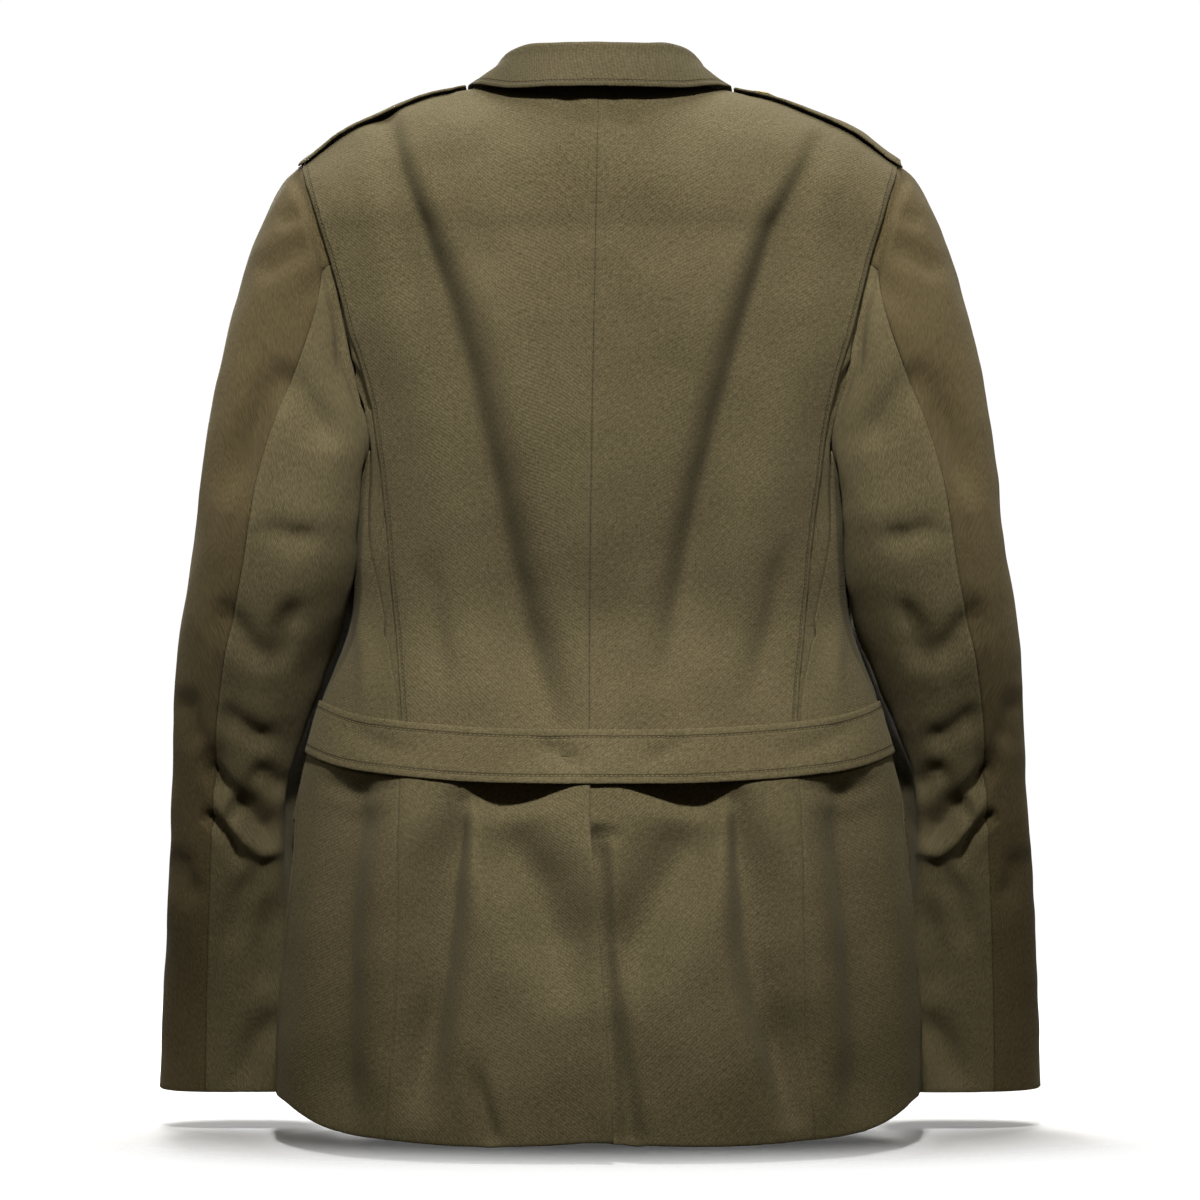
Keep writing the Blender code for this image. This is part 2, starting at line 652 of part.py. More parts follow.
# ---------------------------------------------------------------- belt, flaps and straps
def belt_grid():
    """The half belt, from side seam to side seam across the back."""
    columns = 33
    low = SIDE_SEAM + 0.02
    top_row, mid_row, low_row = [], [], []
    for angle in spread(low, math.pi - low, columns):
        x = abs(ring(min(angle, math.pi - angle), WAIST_SEAM)[0])
        top = read(BELT_TOP, "z", x, "x")
        for row, share in ((top_row, 0.0), (mid_row, 0.5), (low_row, 1.0)):
            row.append(ring(angle, top - BELT_WIDTH * share))
    return np.array([low_row, mid_row, top_row])


def flap_grid():
    """A pocket flap on the front's side, hanging a little away from the cloth at its foot."""
    rows, columns = 4, 9
    grid, lift = [], []
    for r in range(rows):
        share = r / (rows - 1)
        row = []
        for c in range(columns):
            t = c / (columns - 1)
            corner = 0.006 * (abs(2 * t - 1) ** 6)
            z = FLAP_TOP - FLAP_DEPTH + corner + (FLAP_DEPTH - corner) * share
            angle = math.radians(-6 - 44 * t)
            row.append(ring(angle, z))
        grid.append(row)
        lift.append([WALL + LAYER + 0.0035 * (1 - share)] * columns)
    return hung(grid), np.array(lift)


def strap_grid():
    """The shoulder strap, lying along the shoulder seam from the sleeve to the collar."""
    columns = 11
    grid = []
    for i in range(columns):
        t = i / (columns - 1)
        x = STRAP_OUT + (STRAP_IN - STRAP_OUT) * t
        half = STRAP_HALF * (1 - 0.12 * t) * (1 if t < 0.94 else 0.62)
        row = []
        for s in spread(-1, 1, 7):
            row.append(on_shoulder(x, half * s))
        grid.append(row)
    return np.array(grid)


def on_shoulder(x, across):
    """A point of the strap, this far behind (or in front of) its middle line."""
    across -= STRAP_FORWARD * (1 - ease(abs(x), 0.110, 0.185))
    behind = across >= 0
    start = shoulder(x, 0.0, behind)
    end = shoulder(x, 1.0, behind)
    least = math.radians(35 + 43 * ease(abs(x), 0.03, 0.10))
    depth = across / (start[1] - end[1])
    phi = math.acos(min(math.cos(least) + depth * (1 - math.cos(least)), 1.0))
    point = shoulder(x, phi / least, behind)
    point[2] += (1 - STRAP_BEND) * (end[2] - point[2])
    return point


# ---------------------------------------------------------------- buttons
def button(name, foot, way, radius, rise):
    """A domed round button. Its foot lies on the cloth and it faces along way."""
    profile = [(radius * 0.55, 0.0), (radius * 0.94, 0.0012), (radius, 0.0022),
               (radius * 0.90, rise * 0.66), (radius * 0.60, rise * 0.90)]
    sides = 14
    way = np.array(way, float) / np.linalg.norm(way)
    side = np.cross(way, (1.0, 0.0, 0.0) if abs(way[0]) < 0.8 else (0.0, 0.0, 1.0))
    side /= np.linalg.norm(side)
    other = np.cross(way, side)
    points, faces = [], []
    for r, height in profile:
        for i in range(sides):
            a = 2 * math.pi * i / sides
            points.append(foot + way * height + r * (math.cos(a) * side + math.sin(a) * other))
    for k in range(len(profile) - 1):
        for i in range(sides):
            j = (i + 1) % sides
            faces.append((k * sides + i, k * sides + j, (k + 1) * sides + j, (k + 1) * sides + i))
    last = (len(profile) - 1) * sides
    points.append(foot + way * rise)
    faces += [(last + i, last + (i + 1) % sides, len(points) - 1) for i in range(sides)]
    faces.append(tuple(range(sides - 1, -1, -1)))
    return show(name, points, faces, BRASS, 0.35, 1.0)


# ---------------------------------------------------------------- the jacket
def clear_scene():
    for thing in list(bpy.data.objects):
        bpy.data.objects.remove(thing, do_unlink=True)


def make_body():
    cloth("back_left", dipped(back_half(1), TROUGHS))
    cloth("back_right", dipped(back_half(-1), TROUGHS))
    pair("pleat", pleat_layer(), -(WALL + PLEAT_GAP), colour=OLIVE_SHADE)
    pair("side_back", side_back(), colour=OLIVE_SHADE)
    for side, name in ((1, "skirt_left"), (-1, "skirt_right")):
        grid, lift = skirt_half(side)
        cloth(name, grid, lift)


def make_fronts():
    grid, lift = front_half(1)
    cloth("front_left", grid, lift)
    grid, lift = front_half(-1)
    cloth("front_right", mirrored(grid), lift)
    for name, grid in (("lapel_left", lapel(False)), ("lapel_right", lapel(True))):
        lift = [[WALL + LAYER + 0.0018 * ease(p[2], -0.110, -0.085) for p in row]
                for row in grid]
        cloth(name, grid if name == "lapel_left" else mirrored(grid), lift)


def make_sleeves():
    loop = armhole_loop()
    gap, fore = 0.45, 1.0
    top = sleeve_piece(shifted(FORE_SEAM, -360, fore), shifted(HIND_SEAM, 0, -gap), 11, loop)
    under = sleeve_piece(shifted(HIND_SEAM, 0, gap), shifted(FORE_SEAM, 0, -fore), 9, loop)
    inside = (0.25, -0.04, -0.4)
    pair("top_sleeve", top, about=inside, border=1)
    pair("under_sleeve", under, colour=OLIVE_SHADE, about=inside, border=1)


def make_trim():
    cloth("collar", collar_grid())
    cloth("half_belt", belt_grid(), WALL + LAYER)
    grid, lift = flap_grid()
    pair("pocket_flap", grid, lift)
    pair("shoulder_strap", strap_grid(), WALL + LAYER)


def make_buttons():
    for i, z in enumerate(BUTTON_HEIGHTS):
        foot = ring(-math.pi / 2, z) + np.array((0.0, -0.0006, 0.0))
        slope = read(BODY, "front", z + 0.007) - read(BODY, "front", z - 0.007)
        button(f"front_button_{i + 1}", foot, (0, -1, -slope / 0.014), BUTTON_RADIUS, BUTTON_RISE)
    for side, name in ((1, "strap_button_left"), (-1, "strap_button_right")):
        foot = on_shoulder(STRAP_IN + 0.016, 0.0)
        foot += np.array((0.0, 0.0, WALL + LAYER + 0.0006))
        foot[0] *= side
        button(name, foot, (side * 0.25, 0, 1), SMALL_RADIUS, SMALL_RISE)


clear_scene()
make_body()
make_fronts()
make_sleeves()
make_trim()
make_buttons()
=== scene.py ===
"""The looks of an officer's dress jacket in wool, filled out as if worn, with nobody in it.

Metres, +Z up. The front faces -Y and the wearer's left is +X. The camera stands behind.
Folds are placed by the pixel at which the camera sees them, in a 1200 x 1200 frame.
"""

import math

import bpy
import numpy as np
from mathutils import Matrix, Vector


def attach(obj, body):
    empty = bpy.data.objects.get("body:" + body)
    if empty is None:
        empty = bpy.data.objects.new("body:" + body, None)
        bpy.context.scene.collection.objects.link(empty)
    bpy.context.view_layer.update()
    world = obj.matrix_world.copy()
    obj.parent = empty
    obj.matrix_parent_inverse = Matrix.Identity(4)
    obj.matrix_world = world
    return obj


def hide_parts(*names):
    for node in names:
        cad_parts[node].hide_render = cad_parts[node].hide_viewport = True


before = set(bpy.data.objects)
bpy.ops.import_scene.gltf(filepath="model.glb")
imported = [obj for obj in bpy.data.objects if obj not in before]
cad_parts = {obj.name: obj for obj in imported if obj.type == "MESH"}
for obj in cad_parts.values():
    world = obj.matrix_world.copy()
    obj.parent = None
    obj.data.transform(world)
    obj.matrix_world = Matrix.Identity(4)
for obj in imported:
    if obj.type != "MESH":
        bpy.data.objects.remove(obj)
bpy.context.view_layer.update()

# ---------------- sizes, in metres
WALL = 0.0016          # thickness of the cloth
SEAM = -0.0002         # the edges of two pieces sewn together press into each other
LAYER = 0.0008         # gap between two pieces that lie one on the other
ROUND = 2.4            # squareness of the body's rings, 2 is an ellipse
HEM = -0.7385          # the lowest part of the bottom edge
WAIST_SEAM = -0.470    # the back meets the skirt here, under the half belt
ROLL = -0.100          # above this height the body rolls over to the shoulder
UNDERARM = -0.285      # the lowest point of the armhole
SIDE_SEAM = math.radians(4.0)
SIDE_GAP = -0.0006     # the same at the side seam, as an angle
BREAK = -0.262         # the lapel starts to roll here
OVERLAP = 0.022        # the fronts lap this far over the centre line
VENT_UNDER = 0.030     # the right skirt runs this far under the left one
PLEAT_GAP = 0.0013     # the layer under the fold lies this far inside the back
PLEAT_UNDER = 0.022    # the pleat's under layer runs this far under the back
PLEAT_OUT = 0.004      # and this far under the side back
BELT_WIDTH = 0.038
NECK_HALF = 0.075
COLLAR_BEND = 0.0026   # radius of the collar's folded top
STRAP_HALF = 0.024
STRAP_BEND = 0.75      # the stiff strap bends over the shoulder by this share of its shape
STRAP_IN, STRAP_OUT = 0.102, 0.2155
STRAP_FORWARD = 0.012  # the strap's neck end lies this far before the shoulder line
FLAP_TOP, FLAP_DEPTH = -0.476, 0.052

CELL = 0.0027     # size of the cloth's mesh cells
STITCH = 0.0032                             # length of one stitch with its gap

ALLOWANCE = 0.007      # the sleeve's cloth runs on under the body past the armhole seam
ROUNDS = 8             # rounds in which a place on a slanting edge and its height agree

CAMERA = (0.0, 3.05, -0.3607)
PLANE = 0.05           # at this depth one pixel of the frame is PIXEL wide
PIXEL = 0.00071
FRAME = 1200           # pixels across and down
FLOOR = -0.752

# The body's rings: height, half width, depth behind and depth in front of the side.
BODY = {
    "z": (-0.739, -0.709, -0.682, -0.645, -0.615, -0.574, -0.524, -0.496, -0.467,
          -0.430, -0.375, -0.332, -0.283, -0.240, -0.160, -0.100),
    "half": (0.2324, 0.2330, 0.2323, 0.2296, 0.2274, 0.2234, 0.2187, 0.2155, 0.2086,
             0.1983, 0.1800, 0.1820, 0.1885, 0.2010, 0.2270, 0.2430),
    "back": (0.1350, 0.1340, 0.1325, 0.1300, 0.1280, 0.1250, 0.1190, 0.1145, 0.1080,
             0.1010, 0.0950, 0.1040, 0.1140, 0.1190, 0.1180, 0.1060),
    "front": (0.1240, 0.1240, 0.1235, 0.1230, 0.1225, 0.1215, 0.1195, 0.1180, 0.1160,
              0.1120, 0.1080, 0.1140, 0.1220, 0.1240, 0.1180, 0.0980),
}
# The line over the shoulders and round the back of the neck, by distance from the centre.
TOP = {
    "x": (0.0, 0.030, 0.055, 0.075, 0.0920, 0.1215, 0.1520, 0.1830, 0.2015, 0.2187, 0.243),
    "y": (0.070, 0.064, 0.046, 0.020, 0.012, 0.006, 0.002, 0.000, -0.001, -0.002, -0.004),
    "z": (-0.006, -0.004, 0.002, 0.0075, 0.0056, 0.0005, -0.0098, -0.0238, -0.0363,
          -0.0482, -0.0660),
}
# The seam of the sleeve behind, the folded edge of the back, the edge of the side back,
# the centre back seam and the seam of the sleeve in front: distance out at each height.
ARMHOLE_BACK = {
    "z": (-0.0482, -0.0720, -0.0926, -0.1134, -0.1377, -0.1595, -0.1815, -0.2047, -0.2260,
          -0.2556),
    "x": (0.2187, 0.2123, 0.2044, 0.1984, 0.1912, 0.1866, 0.1827, 0.1767, 0.1690, 0.1633),
}
FOLD = {
    "z": (-0.0515, -0.0944, -0.1410, -0.1790, -0.2066, -0.2486, -0.3060, -0.3762, -0.4367,
          -0.4700),
    "x": (0.2135, 0.1992, 0.1850, 0.1745, 0.1661, 0.1584, 0.1516, 0.1451, 0.1399, 0.1385),
}
SIDE_EDGE = {
    "z": (-0.2556, -0.3017, -0.3451, -0.3898, -0.4274, -0.4600, -0.5008, -0.6636, -0.7390),
    "x": (0.1633, 0.1627, 0.1579, 0.1508, 0.1433, 0.1411, 0.1406, 0.1452, 0.1500),
}
CENTRE_SEAM = {"z": (-0.010, -0.360, -0.739), "x": (0.0014, 0.0071, 0.0071)}
ARMHOLE_FRONT = {
    "z": (-0.0482, -0.080, -0.110, -0.140, -0.170, -0.200, -0.225),
    "x": (0.2187, 0.2050, 0.1920, 0.1820, 0.1760, 0.1735, 0.1750),
}
# How far the bottom edge rises above its lowest part, by distance from the centre.
HEM_RISE = {
    "x": (0.0, 0.050, 0.100, 0.140, 0.175, 0.207, 0.233),
    "behind": (0.0035, 0.0005, 0.0, 0.0020, 0.0045, 0.0110, 0.0235),
    "before": (0.0085, 0.0085, 0.0090, 0.0100, 0.0125, 0.0170, 0.0235),
}
# The free edge of the left skirt at the vent.
VENT_EDGE = {
    "z": (-0.470, -0.521, -0.556, -0.601, -0.646, -0.682, -0.712, -0.7385),
    "x": (0.0064, 0.0064, 0.0036, 0.0000, -0.0036, -0.0064, -0.0085, -0.0092),
}
# The half belt's upper edge, by distance from the centre.
BELT_TOP = {
    "x": (0.0, 0.035, 0.069, 0.118, 0.148, 0.172, 0.193, 0.209),
    "z": (-0.4511, -0.4511, -0.4505, -0.4480, -0.4455, -0.4425, -0.4380, -0.4330),
}
# The sleeve's sections: height, centre across and back, reach outwards, inwards and
# to front and back, and how far the inside keeps from the body.
SLEEVE = {
    "z": (-0.299, -0.345, -0.396, -0.442, -0.484, -0.547, -0.610, -0.668, -0.722),
    "across": (0.2273, 0.2349, 0.2478, 0.2565, 0.2606, 0.2635, 0.2650, 0.2652, 0.2640),
    "back": (0.006, 0.000, -0.016, -0.034, -0.052, -0.068, -0.080, -0.088, -0.093),
    "outer": (0.0614, 0.0610, 0.0567, 0.0524, 0.0517, 0.0538, 0.0564, 0.0598, 0.0629),
    "inner": (0.0690, 0.0680, 0.0625, 0.0565, 0.0517, 0.0560, 0.0600, 0.0625, 0.0640),
    "deep": (0.080, 0.076, 0.070, 0.064, 0.060, 0.055, 0.050, 0.046, 0.044),
    "clear": (0.0028, 0.0040, 0.0050, 0.0070, 0.0120, 0.0110, 0.0060, 0.0050, 0.0050),
}
SLEEVE_SQUARE = 2.5
BESIDE_BODY = -0.262   # below this height the inside of the sleeve's head keeps off the body
# Where the two sleeve pieces are sewn together: angle round the sleeve at each height.
HIND_SEAM = {
    "z": (-0.72, -0.50, -0.36, -0.26, -0.20, -0.14, -0.10, -0.06),
    "deg": (71.0, 75.0, 77.0, 78.0, 79.0, 79.0, 75.0, 66.0),
}
FORE_SEAM = {"z": (-0.72, -0.30, -0.10), "deg": (236.0, 232.0, 236.0)}
# The collar, from the centre back to its front end: where its stand is sewn on, its
# folded top and the edge of its fall.
COLLAR = {
    "base_x": (0.000, 0.030, 0.053, 0.0700, 0.0715, 0.0600, 0.0440),
    "base_y": (0.0662, 0.0602, 0.0408, 0.0165, -0.0130, -0.0520, -0.0840),
    "base_z": (-0.0100, -0.0080, -0.0005, 0.0095, 0.0090, -0.0180, -0.0600),
    "top_x": (0.000, 0.028, 0.049, 0.0655, 0.0690, 0.0590, 0.0430),
    "top_y": (0.0600, 0.0545, 0.0380, 0.0140, -0.0140, -0.0540, -0.0890),
    "top_z": (0.0335, 0.0340, 0.0350, 0.0285, 0.0175, -0.0110, -0.0530),
    "edge_x": (0.000, 0.034, 0.064, 0.0900, 0.0960, 0.0910, 0.0780),
    "edge_y": (0.0840, 0.0780, 0.0560, 0.0180, -0.0200, -0.0680, -0.1010),
    "edge_z": (0.0012, 0.0012, 0.0030, 0.0090, 0.0085, -0.0130, -0.0560),
}

# Colours of the wool, the lining, the brass and the floor, and the pitch and turn of the twill.
WOOL_DARK, WOOL_LIGHT = (0.036, 0.0290, 0.0130, 1.0), (0.088, 0.0720, 0.0385, 1.0)
# Painted shade: a darker, browner copy of the wool for the top sleeves, whose outer side turns
# away from the light.
PAINTED_SHADE_DARK, PAINTED_SHADE_LIGHT = (0.032, 0.0235, 0.0095, 1.0), (0.078, 0.0600, 0.0290, 1.0)
SHEEN_TINT = (0.75, 0.68, 0.50, 1.0)
LINING_DARK, LINING_LIGHT = (0.016, 0.014, 0.008, 1.0), (0.028, 0.024, 0.014, 1.0)
BRASS_DARK, BRASS_LIGHT = (0.42, 0.29, 0.11, 1.0), (0.66, 0.49, 0.22, 1.0)
PAPER_DARK, PAPER_LIGHT = (0.60, 0.60, 0.60, 1.0), (0.64, 0.64, 0.64, 1.0)
TWILL_PITCH, TWILL_TURN = 0.0020, 52.0

# Unevenness of the cloth: pairs of wavelength and height.
SOFT_WAVES = ((0.110, 0.0011), (0.045, 0.0005), (0.018, 0.00012))
PUCKER_WAVES = ((0.014, 0.00022), (0.007, 0.00012))


def fold(deep, half, path, right=None, **options):
    """One fold, or a ridge where deep is below 0.

    deep and half (half width) are in millimetres. path is a line of pixels of the frame, across
    and down by turns, and right the half width on the right of a line that runs down. Options:
    fade, the shares over which it starts and ends; narrow, how much narrower it starts; rim,
    the low ridge along it; before, for one on the front, at its place seen through the jacket.
    """
    points = np.array(path, float).reshape(-1, 2)
    right = half if right is None else right
    return dict(options, deep=deep / 1000, half=half / 1000, right=right / 1000, path=points)


def other_side(folds):
    """The same folds on the other side of the frame."""
    flip = np.array((-1.0, 1.0))
    return [dict(f, path=f["path"] * flip + (FRAME, 0.0), half=f["right"], right=f["half"])
            for f in folds]


# Where the camera sees the seam of the sleeve.
ARMHOLE_LINE = (294, 176, 303, 196, 312.6, 223, 320, 251, 329, 284, 336.5, 314.5, 339.4, 330, 341,
                362, 352, 379, 362, 408)

# The body's folds that are alike on both sides.
BOTH_SIDES = (
    fold(5.0, 3.0, ARMHOLE_LINE, fade=(0.05, 0.1)),
    fold(-3.5, 6.0, (368, 500, 368, 564, 364, 631, 364, 700)),
    fold(18.0, 11.5, (462, 790, 496, 798, 530, 792, 572, 786), fade=(0.3, 0.55), rim=0.0),
    fold(4.0, 7.0, (318, 778, 345, 790, 372, 786, 402, 784)),
)
# All of the body's folds.
BODY_FOLDS = (
    *BOTH_SIDES, *other_side(BOTH_SIDES),
    fold(19.0, 23.0, (388, 118, 396, 160, 418, 230, 441, 300, 459, 370, 478, 450, 495, 530,
          517, 620, 540, 690, 550, 722), right=16.0, fade=(0.28, 0.15), narrow=0.6),
    fold(5.0, 26.0, (380, 330, 404, 450, 440, 560, 470, 660)),
    fold(16.5, 13.0, (818, 140, 811, 160, 777, 230, 757, 300, 739, 370, 718, 450, 698, 530,
          681, 620, 668, 680), right=20.0, fade=(0.32, 0.25), narrow=0.5),
    fold(4.0, 20.0, (800, 180, 792, 260, 770, 360, 752, 460)),
    fold(4.5, 10.0, (425, 560, 434, 620, 444, 690)),
    fold(4.5, 10.0, (788, 540, 774, 620, 752, 700)),
    fold(4.5, 6.0, (560, 102, 578, 111, 597, 119)),
    fold(4.5, 6.0, (638, 121, 622, 113, 607, 105)),
    fold(21.0, 28.0, (460, 800, 457, 826, 448, 877, 443, 920, 438, 962, 428, 1047, 422, 1110),
         right=12.5, fade=(0.2, 0.25), narrow=0.5),
    fold(21.0, 12.5, (738, 800, 744, 850, 750, 900, 754, 950, 766, 1010, 779, 1050, 790, 1110),
         right=26.0, fade=(0.2, 0.25), narrow=0.5),
    fold(19.0, 20.0, (498, 815, 514, 855, 536, 890, 556, 945, 570, 1000),
         right=24.0, fade=(0.22, 0.35)),
    fold(19.0, 24.0, (706, 812, 684, 855, 664, 892, 638, 945, 624, 1000),
         right=20.0, fade=(0.22, 0.35)),
    fold(18.0, 30.0, (350, 790, 338, 860, 334, 950, 333, 1060, 336, 1110),
         right=18.0, fade=(0.1, 0.1)),
    fold(18.0, 18.0, (850, 790, 858, 860, 866, 950, 870, 1060, 868, 1110),
         right=30.0, fade=(0.1, 0.1)),
    fold(5.0, 8.0, (428, 985, 420, 1025, 414, 1070, 410, 1110)),
    fold(6.0, 6.0, (474, 1068, 481, 1100, 492, 1140), fade=(0.4, 0.05)),
    fold(5.0, 9.0, (780, 1000, 786, 1060, 794, 1120), fade=(0.4, 0.05)),
    fold(6.0, 13.0, (430, 300, 470, 420, 540, 520), before=True),
    fold(5.5, 12.0, (770, 290, 728, 430, 664, 520), before=True),
    fold(5.0, 16.0, (380, 200, 402, 300, 418, 430), before=True),
    fold(5.0, 16.0, (820, 200, 800, 300, 784, 430), before=True),
    fold(4.0, 10.0, (360, 620, 430, 590, 520, 582), before=True),
    fold(4.0, 10.0, (840, 628, 770, 600, 680, 590), before=True),
    fold(8.0, 17.0, (450, 860, 440, 980, 430, 1100), before=True),
    fold(8.0, 17.0, (748, 850, 760, 970, 772, 1100), before=True),
    fold(5.0, 14.0, (520, 700, 532, 860, 540, 1060), before=True),
)

# At the vent the upper layer stands off a little and the lower one falls back.
VENT_FOLDS = {
    "skirt_left": (
        fold(-4.0, 11.0, (598, 850, 602, 950, 606, 1050, 612, 1140), fade=(0.1, 0.02), rim=0.0),
    ),
    "skirt_right": (
        fold(13.0, 12.0, (596, 842, 600, 900, 604, 1000, 611, 1140),
             right=7.2, fade=(0.06, 0.02), rim=0.0),
        fold(8.0, 12.0, (610, 960, 616, 1040, 632, 1140), right=8.0, fade=(0.4, 0.02), rim=0.0),
        fold(3.5, 5.0, (596, 832, 608, 834, 624, 840), fade=(0.05, 0.7), rim=0.0),
    ),
}

# Folds of the belt: where it is pressed in by the cloth under it.
BELT_FOLDS = (
    fold(3.0, 7.0, (536, 742, 556, 752, 584, 768)),
    fold(2.2, 7.0, (690, 738, 668, 752, 640, 764)),
    fold(2.2, 8.0, (340, 722, 380, 745, 420, 756)),
    fold(2.2, 8.0, (862, 722, 820, 745, 776, 758)),
)

# Folds of the sleeve on the left of the frame. The other sleeve's are their mirror image.
SLEEVE_FOLDS = (
    fold(5.0, 3.0, ARMHOLE_LINE, fade=(0.05, 0.1)),
    fold(6.2, 7.0, (308, 240, 292, 250, 274, 262, 256, 276)),
    fold(3.5, 5.5, (302, 211, 290, 217, 278, 226)),
    fold(3.0, 5.5, (330, 270, 314, 286, 302, 302)),
    fold(9.5, 10.0, (277, 366, 262, 404, 243, 446, 226, 500)),
    fold(9.0, 10.0, (277, 366, 293, 386, 312, 412, 334, 446)),
    fold(4.0, 9.0, (262, 520, 290, 536, 318, 540)),
    fold(6.0, 9.0, (222, 598, 228, 618, 246, 642, 268, 668)),
    fold(4.5, 8.0, (300, 600, 284, 630, 280, 668)),
    fold(4.5, 7.5, (222, 706, 236, 722, 256, 736, 278, 740)),
    fold(4.2, 7.5, (207, 748, 216, 772, 230, 798)),
    fold(5.0, 8.0, (250, 770, 268, 776, 286, 792)),
    fold(7.5, 4.0, (206, 816, 216, 823, 227, 835, 235, 850, 240, 872), fade=(0.1, 0.4)),
    fold(10.0, 6.0, (229, 813, 244, 812, 256, 826, 274, 842), right=13.0, fade=(0.1, 0.3)),
    fold(-5.5, 5.0, (218, 796, 230, 818, 245, 838, 262, 852, 281, 850), fade=(0.2, 0.2)),
    fold(6.0, 5.0, (208, 766, 217, 778, 228, 797)),
    fold(5.0, 8.0, (254, 868, 240, 900, 232, 950)),
    fold(4.5, 9.0, (270, 900, 262, 950, 266, 1000)),
    fold(5.0, 8.0, (184, 690, 190, 720, 196, 750)),
    fold(5.0, 9.0, (178, 850, 184, 880, 196, 905)),
    fold(7.0, 11.0, (236, 1090, 254, 1050, 282, 1010)),
    fold(6.0, 9.0, (256, 330, 290, 372, 322, 388), before=True),
    fold(7.5, 10.0, (224, 430, 262, 470, 316, 480), before=True),
    fold(7.5, 10.0, (206, 520, 250, 550, 310, 540), before=True),
    fold(5.5, 10.0, (196, 640, 240, 690, 300, 700), before=True),
    fold(6.0, 10.0, (180, 800, 220, 830, 280, 842), before=True),
    fold(5.0, 10.0, (176, 940, 220, 970, 270, 960), before=True),
)


# ---------------- small tools
def between(values, slopes, i, span, t):
    """A smooth curve from value i (t = 0) to the next one (t = 1), span further on."""
    return (
        (2 * t**3 - 3 * t**2 + 1) * values[i]
        + (t**3 - 2 * t**2 + t) * span * slopes[i]
        + (3 * t**2 - 2 * t**3) * values[i + 1]
        + (t**3 - t**2) * span * slopes[i + 1]
    )


def read(table, column, at, key="z"):
    """A smooth value of one column of a table, where its key column is at."""
    keys = np.array(table[key], float)
    values = np.array(table[column], float)
    if keys[0] > keys[-1]:
        keys, values = keys[::-1], values[::-1]
    at = min(max(at, keys[0]), keys[-1])
    i = min(max(int(np.searchsorted(keys, at)) - 1, 0), len(keys) - 2)
    span = keys[i + 1] - keys[i]
    return float(between(values, np.gradient(values, keys), i, span, (at - keys[i]) / span))


def ease(value, low, high):
    """0 below low, 1 above high and a smooth rise between them."""
    t = np.clip((value - low) / (high - low), 0.0, 1.0)
    return t * t * (3 - 2 * t)


def power(value, exponent):
    return math.copysign(abs(value) ** exponent, value)


# ---------------- the body's surface
def ring(angle, z):
    """A point of the body's ring. The angle is 0 at the side and grows towards the back."""
    half = read(BODY, "half", z)
    deep = read(BODY, "back" if angle >= 0 else "front", z)
    x = half * power(math.cos(angle), 2 / ROUND)
    y = deep * power(math.sin(angle), 2 / ROUND)
    return np.array((x, y, z))


def arc(first, last, z, count):
    """Points of the body's ring from one angle to another."""
    return [ring(angle, z) for angle in spread(first, last, count)]


def angle_at(x, z, behind=True):
    """The angle at which the body's ring lies this far from the centre."""
    share = min(abs(x) / read(BODY, "half", z), 1.0)
    angle = math.acos(share ** (ROUND / 2))
    angle = angle if behind else -angle
    return math.copysign(1, angle) * math.pi - angle if x < 0 else angle


def body_reach(y, z):
    """How far out the body's ring lies at this depth."""
    deep = read(BODY, "back" if y >= 0 else "front", z)
    inside = max(1 - (abs(y) / deep) ** ROUND, 0.0)
    return read(BODY, "half", z) * inside ** (1 / ROUND)


def whole_turn(out):
    """How far the roll turns over on its way to the shoulder line."""
    return math.radians(35 + 43 * ease(out, 0.03, 0.10))


def shoulder(x, turn, behind=True):
    """A point on the roll from the body's side (turn 0) to the shoulder line (turn 1)."""
    out = abs(x)
    start = ring(angle_at(out, ROLL, behind), ROLL)
    top_y, top_z = read(TOP, "y", out, "x"), read(TOP, "z", out, "x")
    whole = whole_turn(out)
    phi = whole * turn
    rise = math.sin(phi) / math.sin(whole)
    depth = (math.cos(phi) - math.cos(whole)) / (1 - math.cos(whole))
    z = ROLL + (top_z - ROLL) * rise
    return np.array((x, top_y + (start[1] - top_y) * depth, z))


def turn_at(x, z):
    """The turn at which the roll reaches this height."""
    top_z = read(TOP, "z", abs(x), "x")
    whole = whole_turn(abs(x))
    rise = min(max((z - ROLL) / (top_z - ROLL), 0.0), 1.0)
    return math.asin(rise * math.sin(whole)) / whole


def normals(grid):
    """Unit normals of a grid of points, from the differences along its two ways."""
    down = np.gradient(grid, axis=0)
    along = np.gradient(grid, axis=1)
    out = np.cross(along, down)
    return out / np.maximum(np.linalg.norm(out, axis=2, keepdims=True), 1e-12)


